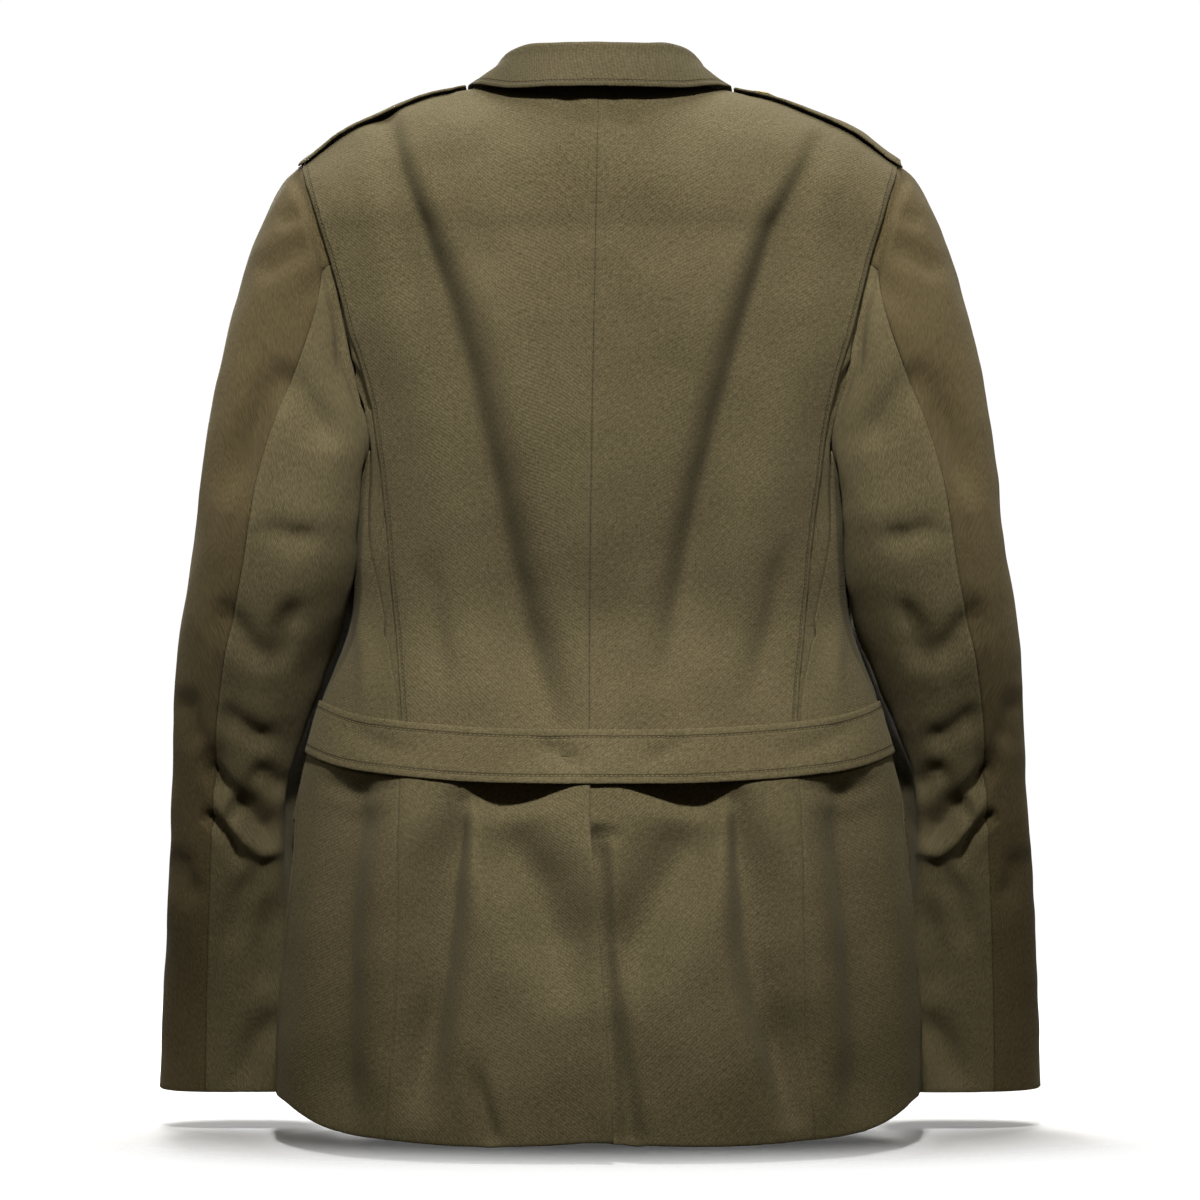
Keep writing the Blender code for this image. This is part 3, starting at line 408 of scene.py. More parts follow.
# ---------------- materials
class Nodes:
    """The node tree of a material or world, with short calls to add to it."""

    def __init__(self, made):
        self.made = made
        self.made.use_nodes = True
        self.tree = self.made.node_tree
        self.surface = self.tree.nodes.get("Principled BSDF")

    def put(self, socket, value):
        if isinstance(value, bpy.types.NodeSocket):
            self.tree.links.new(value, socket)
        else:
            socket.default_value = value

    def add(self, kind, inputs, **settings):
        node = self.tree.nodes.new(kind)
        for key, value in settings.items():
            setattr(node, key, value)
        for key, value in inputs.items():
            self.put(node.inputs[key], value)
        return node

    def calc(self, operation, *values, clamp=False):
        inputs = dict(enumerate(values))
        return self.add("ShaderNodeMath", inputs, operation=operation, use_clamp=clamp).outputs[0]

    def smooth(self, value, low, high, start=0.0, end=1.0):
        inputs = {"Value": value, "From Min": low, "From Max": high}
        inputs.update({"To Min": start, "To Max": end})
        node = self.add("ShaderNodeMapRange", inputs, interpolation_type="SMOOTHSTEP")
        return node.outputs[0]

    def mixed(self, share, first, second, blend="MIX"):
        node = self.add("ShaderNodeMix", {0: share}, data_type="RGBA", blend_type=blend)
        self.put(node.inputs[6], first)
        self.put(node.inputs[7], second)
        return node.outputs[2]

    def noise(self, place, scale, detail=2.0):
        inputs = {"Vector": place, "Scale": scale, "Detail": detail, "Roughness": 0.55}
        return self.add("ShaderNodeTexNoise", inputs).outputs[0]

    def placed(self, source, scale=(1.0, 1.0, 1.0), turn=0.0):
        inputs = {"Vector": source, "Scale": scale, "Rotation": (0.0, 0.0, turn)}
        return self.add("ShaderNodeMapping", inputs).outputs[0]

    def finish(self, colour, roughness, height, distance):
        self.put(self.surface.inputs["Base Color"], colour)
        self.put(self.surface.inputs["Roughness"], roughness)
        inputs = {"Height": height, "Distance": distance, "Strength": 1.0}
        bump = self.add("ShaderNodeBump", inputs)
        self.put(self.surface.inputs["Normal"], bump.outputs[0])
        return self.made


def wool(name, stitch_at=0.0036, share=1.0, dark=WOOL_DARK, light=WOOL_LIGHT):
    """Napped wool twill. A row of stitches runs at one distance from the stitched edges."""
    # share above 1 makes a lighter copy of the wool, which is painted light; below 1 it makes a
    # darker copy, which is painted shade.
    dark, light = ((*(part * share for part in tint[:3]), 1.0) for tint in (dark, light))
    n = Nodes(bpy.data.materials.new(name))
    flat = n.add("ShaderNodeUVMap", {}, uv_map="cloth").outputs[0]
    edge = n.add("ShaderNodeUVMap", {}, uv_map="edge").outputs[0]
    solid = n.add("ShaderNodeTexCoord", {}).outputs["Object"]

    lines = n.placed(flat, turn=math.radians(TWILL_TURN))
    wave_inputs = {"Vector": lines, "Scale": 2 * math.pi / 20 / TWILL_PITCH, "Distortion": 2.2,
                   "Detail": 2.0, "Detail Scale": 1.6}
    twill = n.add("ShaderNodeTexWave", wave_inputs).outputs["Fac"]
    slub = n.noise(n.placed(flat, scale=(1.0, 0.35, 1.0)), 900.0, 3.0)
    cross = n.noise(n.placed(flat, scale=(0.30, 1.0, 1.0)), 800.0, 2.0)
    nap = n.noise(flat, 1500.0, 2.0)
    broad = n.noise(solid, 11.0, 3.0)

    shade = 0.48
    for part, weight in ((slub, 1.7), (cross, 1.1), (twill, 0.26), (broad, 0.7)):
        shade = n.calc("MULTIPLY_ADD", n.calc("SUBTRACT", part, 0.5), weight, shade,
                       clamp=part is broad)
    colour = n.mixed(shade, dark, light)

    parts = n.add("ShaderNodeSeparateXYZ", {0: edge}).outputs
    off = n.calc("ABSOLUTE", n.calc("SUBTRACT", parts[0], stitch_at))
    groove = n.smooth(off, 0.0003, 0.0017, 1.0, 0.0)
    thread = n.smooth(off, 0.0002, 0.0005, 1.0, 0.0)
    beat = n.calc("SINE", n.calc("MULTIPLY", parts[1], 2 * math.pi / STITCH))
    thread = n.calc("MULTIPLY", thread, n.smooth(beat, -0.6, -0.1))
    # Painted shade: the colour in the stitch groove is darkened towards black, on top of its dent
    # in the bump.
    colour = n.mixed(n.calc("MULTIPLY", groove, 0.50), colour, n.mixed(0.6, dark, (0, 0, 0, 1)))
    colour = n.mixed(n.calc("MULTIPLY", thread, 0.75), colour, light)

    height = n.calc("MULTIPLY", twill, 0.34)
    for part, weight in ((slub, 0.55), (nap, 0.60), (groove, -2.2), (thread, 1.3)):
        height = n.calc("MULTIPLY_ADD", part, weight, height)

    n.surface.inputs["Specular IOR Level"].default_value = 0.05
    n.surface.inputs["Sheen Weight"].default_value = 0.05
    n.surface.inputs["Sheen Roughness"].default_value = 0.55
    n.surface.inputs["Sheen Tint"].default_value = SHEEN_TINT
    return n.finish(colour, 0.90, height, 0.00022)


def lining(name):
    """The satin inside: fine ribs and a soft gloss."""
    n = Nodes(bpy.data.materials.new(name))
    flat = n.add("ShaderNodeUVMap", {}, uv_map="cloth").outputs[0]
    wave_inputs = {"Vector": flat, "Scale": 420.0, "Distortion": 1.0}
    ribs = n.add("ShaderNodeTexWave", wave_inputs).outputs["Fac"]
    cloud = n.noise(flat, 30.0)
    colour = n.mixed(cloud, LINING_DARK, LINING_LIGHT)
    n.surface.inputs["Sheen Weight"].default_value = 0.08
    return n.finish(colour, 0.52, ribs, 0.00008)


def brass(name):
    """Lightly worn brass, satin with fine scratches and darker patches at random."""
    n = Nodes(bpy.data.materials.new(name))
    solid = n.add("ShaderNodeTexCoord", {}).outputs["Object"]
    grain = n.noise(solid, 900.0)
    cloud = n.noise(solid, 160.0)
    colour = n.mixed(n.smooth(cloud, 0.35, 0.7), BRASS_DARK, BRASS_LIGHT)
    n.surface.inputs["Metallic"].default_value = 1.0
    rough = n.smooth(grain, 0.3, 0.7, 0.24, 0.42)
    return n.finish(colour, rough, grain, 0.00003)


def paper(name):
    """The pale floor, which fades into the white round it away from the jacket."""
    n = Nodes(bpy.data.materials.new(name))
    solid = n.add("ShaderNodeTexCoord", {}).outputs["Object"]
    far = n.add("ShaderNodeVectorMath", {0: solid}, operation="LENGTH").outputs["Value"]
    n.put(n.surface.inputs["Alpha"], n.smooth(far, 0.62, 0.80, 1.0, 0.0))
    cloud = n.noise(solid, 3.0)
    return n.finish(n.mixed(cloud, PAPER_DARK, PAPER_LIGHT), 0.9, cloud, 0.0001)


MATERIALS = {
    "wool": wool("wool"),
    # Painted light: the belt's wool is a lighter copy, with its stitches set farther from the
    # edge.
    "wool_belt_painted_light": wool("wool_belt_painted_light", stitch_at=0.0057, share=1.1),
    # Painted shade: the collar's wool is a darker copy.
    "wool_collar_painted_shade": wool("wool_collar_painted_shade", stitch_at=0.0044, share=0.76),
    # Painted light: the under sleeves' wool is a lighter copy, where less light reaches them.
    "wool_sleeve_painted_light": wool("wool_sleeve_painted_light", share=1.15),
    # Painted shade: the top sleeves' wool is the darker, browner copy.
    "shade": wool("wool_shade", dark=PAINTED_SHADE_DARK, light=PAINTED_SHADE_LIGHT),
    "lining": lining("lining"),
    "brass": brass("brass"),
}


# ---------------- folds and unevenness
def seen(points):
    """Where the camera sees these points: pixels across and down."""
    scale = (CAMERA[1] - PLANE) / (CAMERA[1] - points[..., 1]) / PIXEL
    middle = FRAME / 2
    return middle - points[..., 0] * scale, middle - (points[..., 2] - CAMERA[2]) * scale


RUN_ON = 0.12                   # a fold runs on past its ends by this share of its length
RIM_AT, RIM_HALF = 2.1, 0.9     # the low ridge beside a fold, in half widths of the fold


def near_path(across, down, path):
    """How far each place is from a line of points, and how far along it, from 0 to 1.

    Places on the right of a line that runs down the frame are at a distance below 0.
    """
    lengths = np.linalg.norm(np.diff(path, axis=0), axis=1)
    done = np.concatenate([[0], np.cumsum(lengths)])
    off = np.full(across.shape, 1e9)
    share = np.zeros(across.shape)
    for k, length in enumerate(lengths):
        way = (path[k + 1] - path[k]) / length
        first, last = k == 0, k == len(lengths) - 1
        x, y = across - path[k][0], down - path[k][1]
        t = x * way[0] + y * way[1]
        inside = np.clip(t, 0, length)
        far = np.hypot(x - inside * way[0], y - inside * way[1])
        closer = far < np.abs(off)
        off = np.where(closer, np.where(way[0] * y - way[1] * x < 0, -far, far), off)
        reach = np.clip(t, -length if first else 0, 2 * length if last else length)
        share = np.where(closer, (done[k] + reach) / done[-1], share)
    return off * PIXEL, share


def fold_depth(points, facing, folds):
    """How far the folds press the cloth in. Only cloth that faces a fold's own side takes it."""
    across, down = seen(points)
    deep = np.zeros(across.shape)
    for one in folds:
        off, share = near_path(across, down, one["path"])
        start, end = one.get("fade", (0.30, 0.30))
        fade = ease(share, -RUN_ON, start) * (1 - ease(share, 1 - end, 1 + RUN_ON))
        half = np.where(off < 0, one["right"], one["half"])
        half = half * (1 - one.get("narrow", 0.0) * (1 - ease(share, 0.0, 0.45)))
        off = np.abs(off) / half
        ridge = np.exp(-(((off - RIM_AT) / RIM_HALF) ** 2))
        shape = np.exp(-(off**2)) - one.get("rim", 0.10) * ridge
        side = -1 if one.get("before") else 1
        deep += one["deep"] * fade * shape * ease(side * facing, 0.05, 0.35)
    return deep


def uneven(points, seed, waves):
    """A soft, irregular rise and fall. waves are pairs of wavelength and height."""
    rng = np.random.default_rng(seed)
    total = np.zeros(points.shape[:-1])
    for length, height in waves:
        for _ in range(6):
            way = rng.normal(size=3)
            way /= np.linalg.norm(way)
            turn = rng.uniform(0, 2 * math.pi)
            step = length * rng.uniform(0.75, 1.35)
            total += height / 3 * np.sin(points @ way * 2 * math.pi / step + turn)
    return total


# ---------------- finer grids
def resampled(grid, cell):
    """Smooth rows through the grid's rows, evenly spaced and about one cell apart.

    Their heights never rise and fall again between two of the grid's rows.
    """
    steps = np.linalg.norm(np.diff(grid[..., :3], axis=0), axis=2).mean(axis=1)
    length = np.concatenate([[0], np.cumsum(steps)])
    count = max(int(round(length[-1] / cell)), 2) + 1
    at = np.linspace(0, length[-1], count)
    i = np.clip(np.searchsorted(length, at, "right") - 1, 0, len(grid) - 2)
    step = steps[i][:, None, None]
    slopes = np.gradient(grid, length, axis=0)
    rise = np.abs(np.diff(grid[..., 2], axis=0) / steps[:, None])
    most = 2 * np.minimum(np.concatenate([rise[:1], rise]), np.concatenate([rise, rise[-1:]]))
    slopes[..., 2] = np.clip(slopes[..., 2], -most, most)
    return between(grid, slopes, i, step, (at - length[i])[:, None, None] / step)


def refined(grid, cell):
    return resampled(resampled(grid, cell).swapaxes(0, 1), cell).swapaxes(0, 1)


def run_along(grid, axis):
    """Length along each row (axis 1) or column (axis 0), from its start, in metres."""
    steps = np.linalg.norm(np.diff(grid, axis=axis), axis=2)
    start = np.zeros_like(np.take(steps, [0], axis=axis))
    return np.concatenate([start, np.cumsum(steps, axis=axis)], axis=axis)


def edge_map(grid, stitched):
    """Distance to the nearest stitched edge and the place along it, for each point."""
    across, up = run_along(grid, 1), run_along(grid, 0)
    choices = {
        "first": (across, up),
        "last": (across[:, -1:] - across, up),
        "low": (up, across),
        "high": (up[-1:] - up, across),
    }
    off, run = np.full(across.shape, 0.5), np.zeros(across.shape)
    for edge in stitched:
        far, place = choices[edge]
        closer = far < off
        off, run = np.where(closer, far, off), np.where(closer, place, run)
    return off, run


# ---------------- the cloth shells
def facing_out(grid, about):
    """Whether the grid's normals point away from a point inside."""
    return float((normals(grid) * (grid - np.array(about)))[:, -2:].sum()) > 0


def tucked(grid):
    """The grid with its border drawn in a little, so that the rim between is round."""
    grid = grid.copy()
    pull = 0.45 * WALL
    for view in (grid, grid.swapaxes(0, 1)):
        for end, inner in ((0, 1), (-1, -2)):
            way = view[inner] - view[end]
            view[end] += way / np.linalg.norm(way, axis=1, keepdims=True) * pull
    return grid


def rim_of(grid):
    """A grid's border, once round."""
    return np.concatenate([grid[0, :-1], grid[:-1, -1], grid[-1, :0:-1], grid[:0:-1, 0]])


def shell_faces(rows, columns, turned):
    """Faces of the outer sheet, the inner sheet and the round rim between them."""
    first = np.arange(rows * columns).reshape(rows, columns)
    quads = np.stack([first[:-1, :-1], first[:-1, 1:], first[1:, 1:], first[1:, :-1]], axis=2)
    quads = quads.reshape(-1, 4)
    size = rows * columns
    rim = rim_of(first)
    after = np.roll(rim, -1)
    middle = 2 * size + np.arange(len(rim))
    middle_after = np.roll(middle, -1)
    upper = np.stack([after, rim, middle, middle_after], axis=1)
    lower = np.stack([middle_after, middle, size + rim, size + after], axis=1)
    faces = np.concatenate([quads, size + quads[:, ::-1], upper, lower])
    return faces[:, ::-1] if turned else faces


def set_map(mesh, name, across, up):
    """Writes one UV map from values held by the vertices."""
    layer = mesh.uv_layers.new(name=name)
    corners = np.zeros(len(mesh.loops), np.int32)
    mesh.loops.foreach_get("vertex_index", corners)
    values = np.stack([across[corners], up[corners]], axis=1).astype(np.float32)
    layer.data.foreach_set("uv", values.ravel())


def shell(name, grid, lift, about, stitched=()):
    """A closed sheet of cloth on a fine grid. lift moves its outer face out from the grid."""
    turned = not facing_out(grid, about)
    way = normals(grid) * (-1 if turned else 1)
    lift = lift[..., None]
    outer, inner = grid + way * lift, grid + way * (lift - WALL)
    rows, columns, _ = grid.shape
    rim = rim_of(np.arange(rows * columns).reshape(rows, columns))
    middle = rim_of((outer + inner) / 2)
    points = np.concatenate([tucked(outer).reshape(-1, 3), tucked(inner).reshape(-1, 3), middle])
    faces = shell_faces(rows, columns, turned)
    mesh = bpy.data.meshes.new(name)
    mesh.from_pydata(points.tolist(), [], faces.tolist())
    mesh.update()
    maps = (run_along(grid, 1), run_along(grid, 0), *edge_map(grid, stitched))
    maps = [np.concatenate([a.ravel(), a.ravel(), a.ravel()[rim]]) for a in maps]
    set_map(mesh, "cloth", maps[0], maps[1])
    set_map(mesh, "edge", maps[2], maps[3])
    inside = np.zeros(len(mesh.polygons), np.int32)
    quads = (rows - 1) * (columns - 1)
    inside[quads : 2 * quads] = 1
    mesh.polygons.foreach_set("material_index", inside)
    mesh.shade_smooth()
    piece = bpy.data.objects.new(name, mesh)
    bpy.context.scene.collection.objects.link(piece)
    return piece


def cloth(node, grid, look, lift=0.0, about=(0.0, 0.0, -0.4), border=0, folds=(), stitched=(),
          cell=CELL, under="lining"):
    """Replaces a CAD node with a fine sheet that has its folds, puckers and unevenness."""
    grid = np.array(grid, float)
    lift = np.broadcast_to(np.array(lift, float), grid.shape[:2])[..., None]
    kept = slice(border, grid.shape[1] - border)
    full = refined(np.concatenate([grid, lift], axis=2)[:, kept], cell)
    grid, lift = full[..., :3], full[..., 3]
    way = normals(grid) * (1 if facing_out(grid, about) else -1)
    off, _ = edge_map(grid, stitched)
    pucker = uneven(grid, 7, PUCKER_WAVES) * (1 - ease(off, 0.004, 0.016))
    move = uneven(grid, 3, SOFT_WAVES) + pucker - fold_depth(grid, way[..., 1], folds)
    grid = grid + way * move[..., None]
    piece = shell(node + "_cloth", grid, lift, about, stitched)
    piece.data.materials.append(MATERIALS[look])
    piece.data.materials.append(MATERIALS[under])
    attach(piece, "root")
    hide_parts(node)
    return piece


def mirrored(grid):
    """The same grid on the wearer's other side."""
    return np.array(grid, float) * np.array((-1.0, 1.0, 1.0))


def pair(node, grid, look, lift=0.0, about=(0.0, 0.0, -0.4), **options):
    """The piece on the wearer's left, and its mirror image on the right."""
    cloth(node + "_left", grid, look, lift, about, **options)
    cloth(node + "_right", mirrored(grid), look, lift, mirrored(about), **options)


def spread(low, high, count):
    return [low + (high - low) * i / (count - 1) for i in range(count)]


# ---------------- the back
def torso_rows(bottom, count_low=30, count_high=14):
    """Heights from the bottom to the roll, then turns up to the shoulder line."""
    low = [("z", z) for z in spread(bottom, ROLL, count_low)]
    return low + [("turn", t) for t in spread(0, 1, count_high)[1:]]


def open_seam(grid, gap):
    """The grid with its last row, at the shoulder line, moved back by the gap."""
    grid = np.array(grid, float)
    grid[-1, :, 1] += gap
    return grid


def row_height(kind, value, x, behind=True):
    return value if kind == "z" else shoulder(x, value, behind)[2]


def edge_on_row(table, kind, value, behind=True):
    """Where an edge line crosses a row. On the roll its height depends on how far out it is."""
    x = read(table, "x", ROLL)
    for _ in range(ROUNDS):
        x = read(table, "x", row_height(kind, value, x, behind))
    return x


def back_row(kind, value, inner, outer, count):
    """Points across the back on one row, from one distance out to another."""
    z = value if kind == "z" else ROLL
    row = arc(angle_at(inner, z), angle_at(outer, z), z, count)
    return row if kind == "z" else [shoulder(p[0], value) for p in row]


def hung(grid):
    """The grid with its bottom edge raised to the curve of the hem."""
    grid = np.array(grid, float)
    for row in grid:
        for point in row:
            low = (WAIST_SEAM - point[2]) / (WAIST_SEAM - HEM)
            column = "behind" if point[1] > 0 else "before"
            point[2] += read(HEM_RISE, column, abs(point[0]), "x") * max(low, 0.0) ** 2
    return grid


def back_half(side):
    """One half of the back, from the centre seam to its folded edge."""
    grid = []
    for kind, value in torso_rows(WAIST_SEAM + SEAM / 2):
        folded = edge_on_row(FOLD, kind, value)
        seam = read(CENTRE_SEAM, "x", value if kind == "z" else row_height(kind, value, 0.0))
        start = seam + side * SEAM / 2
        grid.append(back_row(kind, value, start, side * folded, 18))
    return open_seam(grid, -0.0002)


def pleat_layer():
    """The layer under the fold: its inner part is covered, its outer edge meets the sleeve."""
    grid = []
    for kind, value in torso_rows(WAIST_SEAM + SEAM / 2):
        folded = edge_on_row(FOLD, kind, value)
        z = row_height(kind, value, folded)
        if z > ARMHOLE_BACK["z"][-1]:
            outer = edge_on_row(ARMHOLE_BACK, kind, value) - SEAM
        else:
            sunk = ease(ARMHOLE_BACK["z"][-1] - z, 0.0, 0.03)
            outer = read(SIDE_EDGE, "x", z) - SEAM + sunk * PLEAT_OUT
        under = PLEAT_UNDER * (1 - 0.75 * ease(z, -0.10, -0.06))
        grid.append(back_row(kind, value, outer, folded - under, 7))
    return open_seam(grid, 0.0004)


# ---------------- the side back
def side_top(angle):
    """The lower back part of the armhole: its height at this angle."""
    end = angle_at(ARMHOLE_BACK["x"][-1], ARMHOLE_BACK["z"][-1])
    share = min(max((angle - SIDE_SEAM) / (end - SIDE_SEAM), 0.0), 1.0)
    return ARMHOLE_BACK["z"][-1] + (UNDERARM - ARMHOLE_BACK["z"][-1]) * math.sqrt(1 - share**2)


def side_back():
    """From the side seam to the back, and from the armhole down to the hem."""
    rows, columns = 44, 10
    grid = []
    for r in range(rows):
        row = []
        for c in range(columns):
            share = c / (columns - 1)
            z = HEM
            for _ in range(ROUNDS):
                outer = angle_at(read(SIDE_EDGE, "x", z) + SEAM, z)
                start = SIDE_SEAM + SIDE_GAP
                angle = start + (outer - start) * share
                top = side_top(angle) - SEAM
                z = HEM + (top - HEM) * r / (rows - 1)
            row.append(ring(angle, z))
        grid.append(row)
    return hung(grid)


# ---------------- the skirt behind
def skirt_half(side):
    """One half of the skirt. The left one's free edge laps over the right one."""
    rows, columns = 28, 18
    grid, lift = [], []
    for z in spread(HEM, WAIST_SEAM - SEAM / 2, rows):
        outer = read(SIDE_EDGE, "x", z) - SEAM
        vent = read(VENT_EDGE, "x", z)
        start = vent if side > 0 else vent + VENT_UNDER
        row = arc(angle_at(start, z), angle_at(side * outer, z), z, columns)
        sunk = [(WALL + LAYER) * ease(p[0], -0.045, -0.022) if side < 0 else 0.0 for p in row]
        grid.append(row)
        lift.append([-s for s in sunk])
    return hung(grid), np.array(lift)


# ---------------- the fronts
def front_armhole(z):
    """The angle of the front's outer edge: the side seam, then the armhole's lower curve."""
    low = ARMHOLE_FRONT["z"][-1]
    end = angle_at(ARMHOLE_FRONT["x"][-1], low, behind=False)
    if z <= UNDERARM:
        return SIDE_SEAM
    if z >= low:
        return angle_at(read(ARMHOLE_FRONT, "x", z), z, behind=False)
    share = (low - z) / (low - UNDERARM)
    return SIDE_SEAM + (end - SIDE_SEAM) * math.sqrt(1 - share**2)


def front_rows():
    low = spread(HEM, UNDERARM, 30)
    curved = 0.060         # the height of the armhole's curved foot
    curve = [UNDERARM + s * curved for s in (0.12, 0.32, 0.60, 1.0)]
    chest = spread(UNDERARM + curved, ROLL, 10)[1:]
    rows = [("z", z) for z in low + curve + chest]
    return rows + [("turn", t) for t in spread(0, 1, 14)[1:]]


def roll_line(z):
    """The front's inner edge: straight below the break, then up the lapel's roll to the neck."""
    top = TOP["z"][3]
    share = min(max((z - BREAK) / (top - BREAK), 0.0), 1.0)
    return (NECK_HALF + 0.002) * share - OVERLAP * (1 - share)


def front_half(side):
    """One front, from its free edge to the side seam. The left one lies over the right one."""
    columns = 24
    grid, lift = [], []
    for kind, value in front_rows():
        z = value if kind == "z" else ROLL
        if kind == "z":
            inner = roll_line(z)
            outer = front_armhole(z)
            outer -= SIDE_GAP * (outer >= SIDE_SEAM - 0.01)
            first = angle_at(inner, z, behind=False)
            first = first if inner >= 0 else -abs(first)
            row = arc(first, outer, z, columns)
        else:
            x = NECK_HALF
            for _ in range(ROUNDS):
                x = roll_line(shoulder(x, value, False)[2])
            end = edge_on_row(ARMHOLE_FRONT, kind, value, False)
            row = arc(angle_at(x, ROLL, False), angle_at(end, ROLL, False), ROLL, columns)
            row = [shoulder(p[0], value, False) for p in row]
        grid.append(row)
        under = (WALL + LAYER) if side < 0 else 0.0
        lift.append([-under * ease(-p[0], -0.050, -0.026) for p in row])
    return hung(open_seam(grid, 0.0002)), np.array(lift)


# ---------------- the sleeves
def armhole_side(table, behind):
    """The sleeve seam from the shoulder's tip down to the end of its table."""
    line = []
    for turn in spread(1, 0, 8):
        line.append(shoulder(edge_on_row(table, "turn", turn, behind), turn, behind))
    for z in spread(ROLL, table["z"][-1], 9 if behind else 8)[1:]:
        line.append(ring(angle_at(edge_on_row(table, "z", z, behind), z, behind), z))
    return line


def armhole_loop():
    """The sleeve seam, as two lines of points from the shoulder's tip down to the underarm."""
    back = armhole_side(ARMHOLE_BACK, True)
    start = angle_at(ARMHOLE_BACK["x"][-1], ARMHOLE_BACK["z"][-1])
    back += [ring(angle, side_top(angle)) for angle in spread(start, SIDE_SEAM, 9)[1:]]
    front = armhole_side(ARMHOLE_FRONT, False)
    low = ARMHOLE_FRONT["z"][-1]
    for share in spread(0, 1, 10)[1:]:
        z = low + (UNDERARM - low) * math.sin(share * math.pi / 2)
        front.append(ring(front_armhole(z), z))
    return np.array(back), np.array(front)


def along(line, share):
    """The point at this share of a line's length."""
    steps = np.linalg.norm(np.diff(line, axis=0), axis=1)
    length = np.concatenate([[0], np.cumsum(steps)])
    at = share * length[-1]
    return np.array([np.interp(at, length, line[:, k]) for k in range(3)])


def sleeve_section(degrees, z):
    """A point of the sleeve's section: 0 degrees is outside, 90 behind, 180 against the body."""
    a = math.radians(degrees)
    cosine = power(math.cos(a), 2 / SLEEVE_SQUARE)
    sine = power(math.sin(a), 2 / SLEEVE_SQUARE)
    reach = read(SLEEVE, "outer" if cosine > 0 else "inner", z)
    x = read(SLEEVE, "across", z) + reach * cosine
    y = read(SLEEVE, "back", z) + read(SLEEVE, "deep", z) * sine
    return np.array((max(x, body_reach(y, z) + read(SLEEVE, "clear", z)), y, z))


def sleeve_point(degrees, row, loop):
    """A point of the sleeve. Rows from 0 to 1 are its head, and lower ones are heights."""
    if row < 0:
        return sleeve_section(degrees, row)
    behind, before = loop
    seam = behind if degrees <= 180 else before
    start = along(seam, min(degrees, 360 - degrees) / 180)
    cosine, sine = math.cos(math.radians(degrees)), math.sin(math.radians(degrees))
    near_body = ease(-cosine, 0.0, 0.9)
    start = start + np.array((0.0002 + 0.0018 * near_body, 0.0, -0.0003))
    end = sleeve_section(degrees, SLEEVE["z"][0])
    far = np.linalg.norm(end - start)
    leave = np.array((0.25 + 0.45 * (1 + cosine), 0.30 * sine, -0.90))
    first = start + leave / np.linalg.norm(leave) * 0.17 * far
    second = end + np.array((-0.10, 0.03, 1.0)) * 0.34 * far
    if row == 0:
        return start - leave / np.linalg.norm(leave) * ALLOWANCE + inward(degrees) * 0.0022
    t = row
    point = ((1 - t) ** 3 * start + 3 * (1 - t) ** 2 * t * first
             + 3 * (1 - t) * t**2 * second + t**3 * end)
    if point[2] < BESIDE_BODY and 100 < degrees < 262:
        point[0] = max(point[0], body_reach(point[1], point[2]) + 0.0027)
    return point


def inward(degrees):
    """The way from the armhole's seam towards its middle."""
    a = math.radians(degrees)
    return np.array((-0.2, -math.sin(a), -max(math.cos(a), 0.0) * 0.8))


def sleeve_piece(first, last, columns, loop):
    """Rows from the seam of the head down to the cuff, between two of the sleeve's seams."""
    rows = [0.0] + spread(0.004, 0.94, 15)
    rows += spread(SLEEVE["z"][0], SLEEVE["z"][-1], 26)
    grid = []
    for row in rows:
        z = row if row < 0 else -0.06 - 0.24 * row
        start, end = read(first, "deg", z), read(last, "deg", z)
        step = (end - start) / (columns - 1)
        turns = spread(start - step, end + step, columns + 2)
        grid.append([sleeve_point(d % 360, row, loop) for d in turns])
    return np.array(grid)


def shifted(table, turn, ease_deg=0.0):
    """A seam table with its angles moved, to leave the gap of a seam or to go round once."""
    return {"z": table["z"], "deg": tuple(d + turn + ease_deg for d in table["deg"])}


# ---------------- collar and lapels
def collar_grid():
    """Rows round the neck. Each runs from the stand's seam over the fold to the fall's edge."""
    keys = tuple(range(len(COLLAR["base_x"])))
    table = dict(COLLAR, at=keys)
    half = []
    for s in spread(0, keys[-1], 31):
        base, top, edge = (
            np.array([read(table, f"{part}_{way}", s, "at") for way in "xyz"])
            for part in ("base", "top", "edge")
        )
        out = edge - base
        out[2] = 0
        out /= np.linalg.norm(out)
        up = np.array((0.0, 0.0, 1.0))
        section = [base - up * 0.005] + [base + (top - base) * t for t in (0.0, 0.5, 0.9)]
        section += [top + out * (COLLAR_BEND * t) for t in (0.3, 1.7)]
        fall = top + out * (COLLAR_BEND * 2.0) - up * COLLAR_BEND
        section += [fall + (edge - fall) * t for t in (0.12, 0.5, 1.0)]
        half.append(section)
    half = np.array(half)
    return np.concatenate([mirrored(half)[:0:-1], half])


def lapel(covered):
    """The turned-back part of the front, from the break up to the notch.

    The right one is covered by the left front where the two cross.
    """
    grid = []
    for share in spread(0, 1, 26):
        z = BREAK + 0.006 + (-0.062 - BREAK) * share
        inner = (abs(roll_line(z)) + 0.0025) if covered else roll_line(z) + 0.0015
        width = 0.062 * math.sin(math.pi / 2 * min(share * 1.15, 1.0)) ** 0.9 + 0.004
        row = []
        for t in spread(0, 1, 12):
            x = inner + width * t
            height = min(z - 0.016 * t * share, ROLL + 0.055)
            if height <= ROLL:
                row.append(ring(-abs(angle_at(x, height, False)), height))
            else:
                row.append(shoulder(x, turn_at(x, height), False))
        grid.append(row)
    return np.array(grid)


# ---------------- belt, flaps and straps
def belt_grid():
    """The half belt, from side seam to side seam across the back."""
    low = SIDE_SEAM + 0.02
    grid = []
    for angle in spread(low, math.pi - low, 65):
        x = abs(ring(min(angle, math.pi - angle), WAIST_SEAM)[0])
        top = read(BELT_TOP, "z", x, "x")
        grid.append([ring(angle, top - BELT_WIDTH * share) for share in (1.0, 0.5, 0.0)])
    return np.array(grid).swapaxes(0, 1)


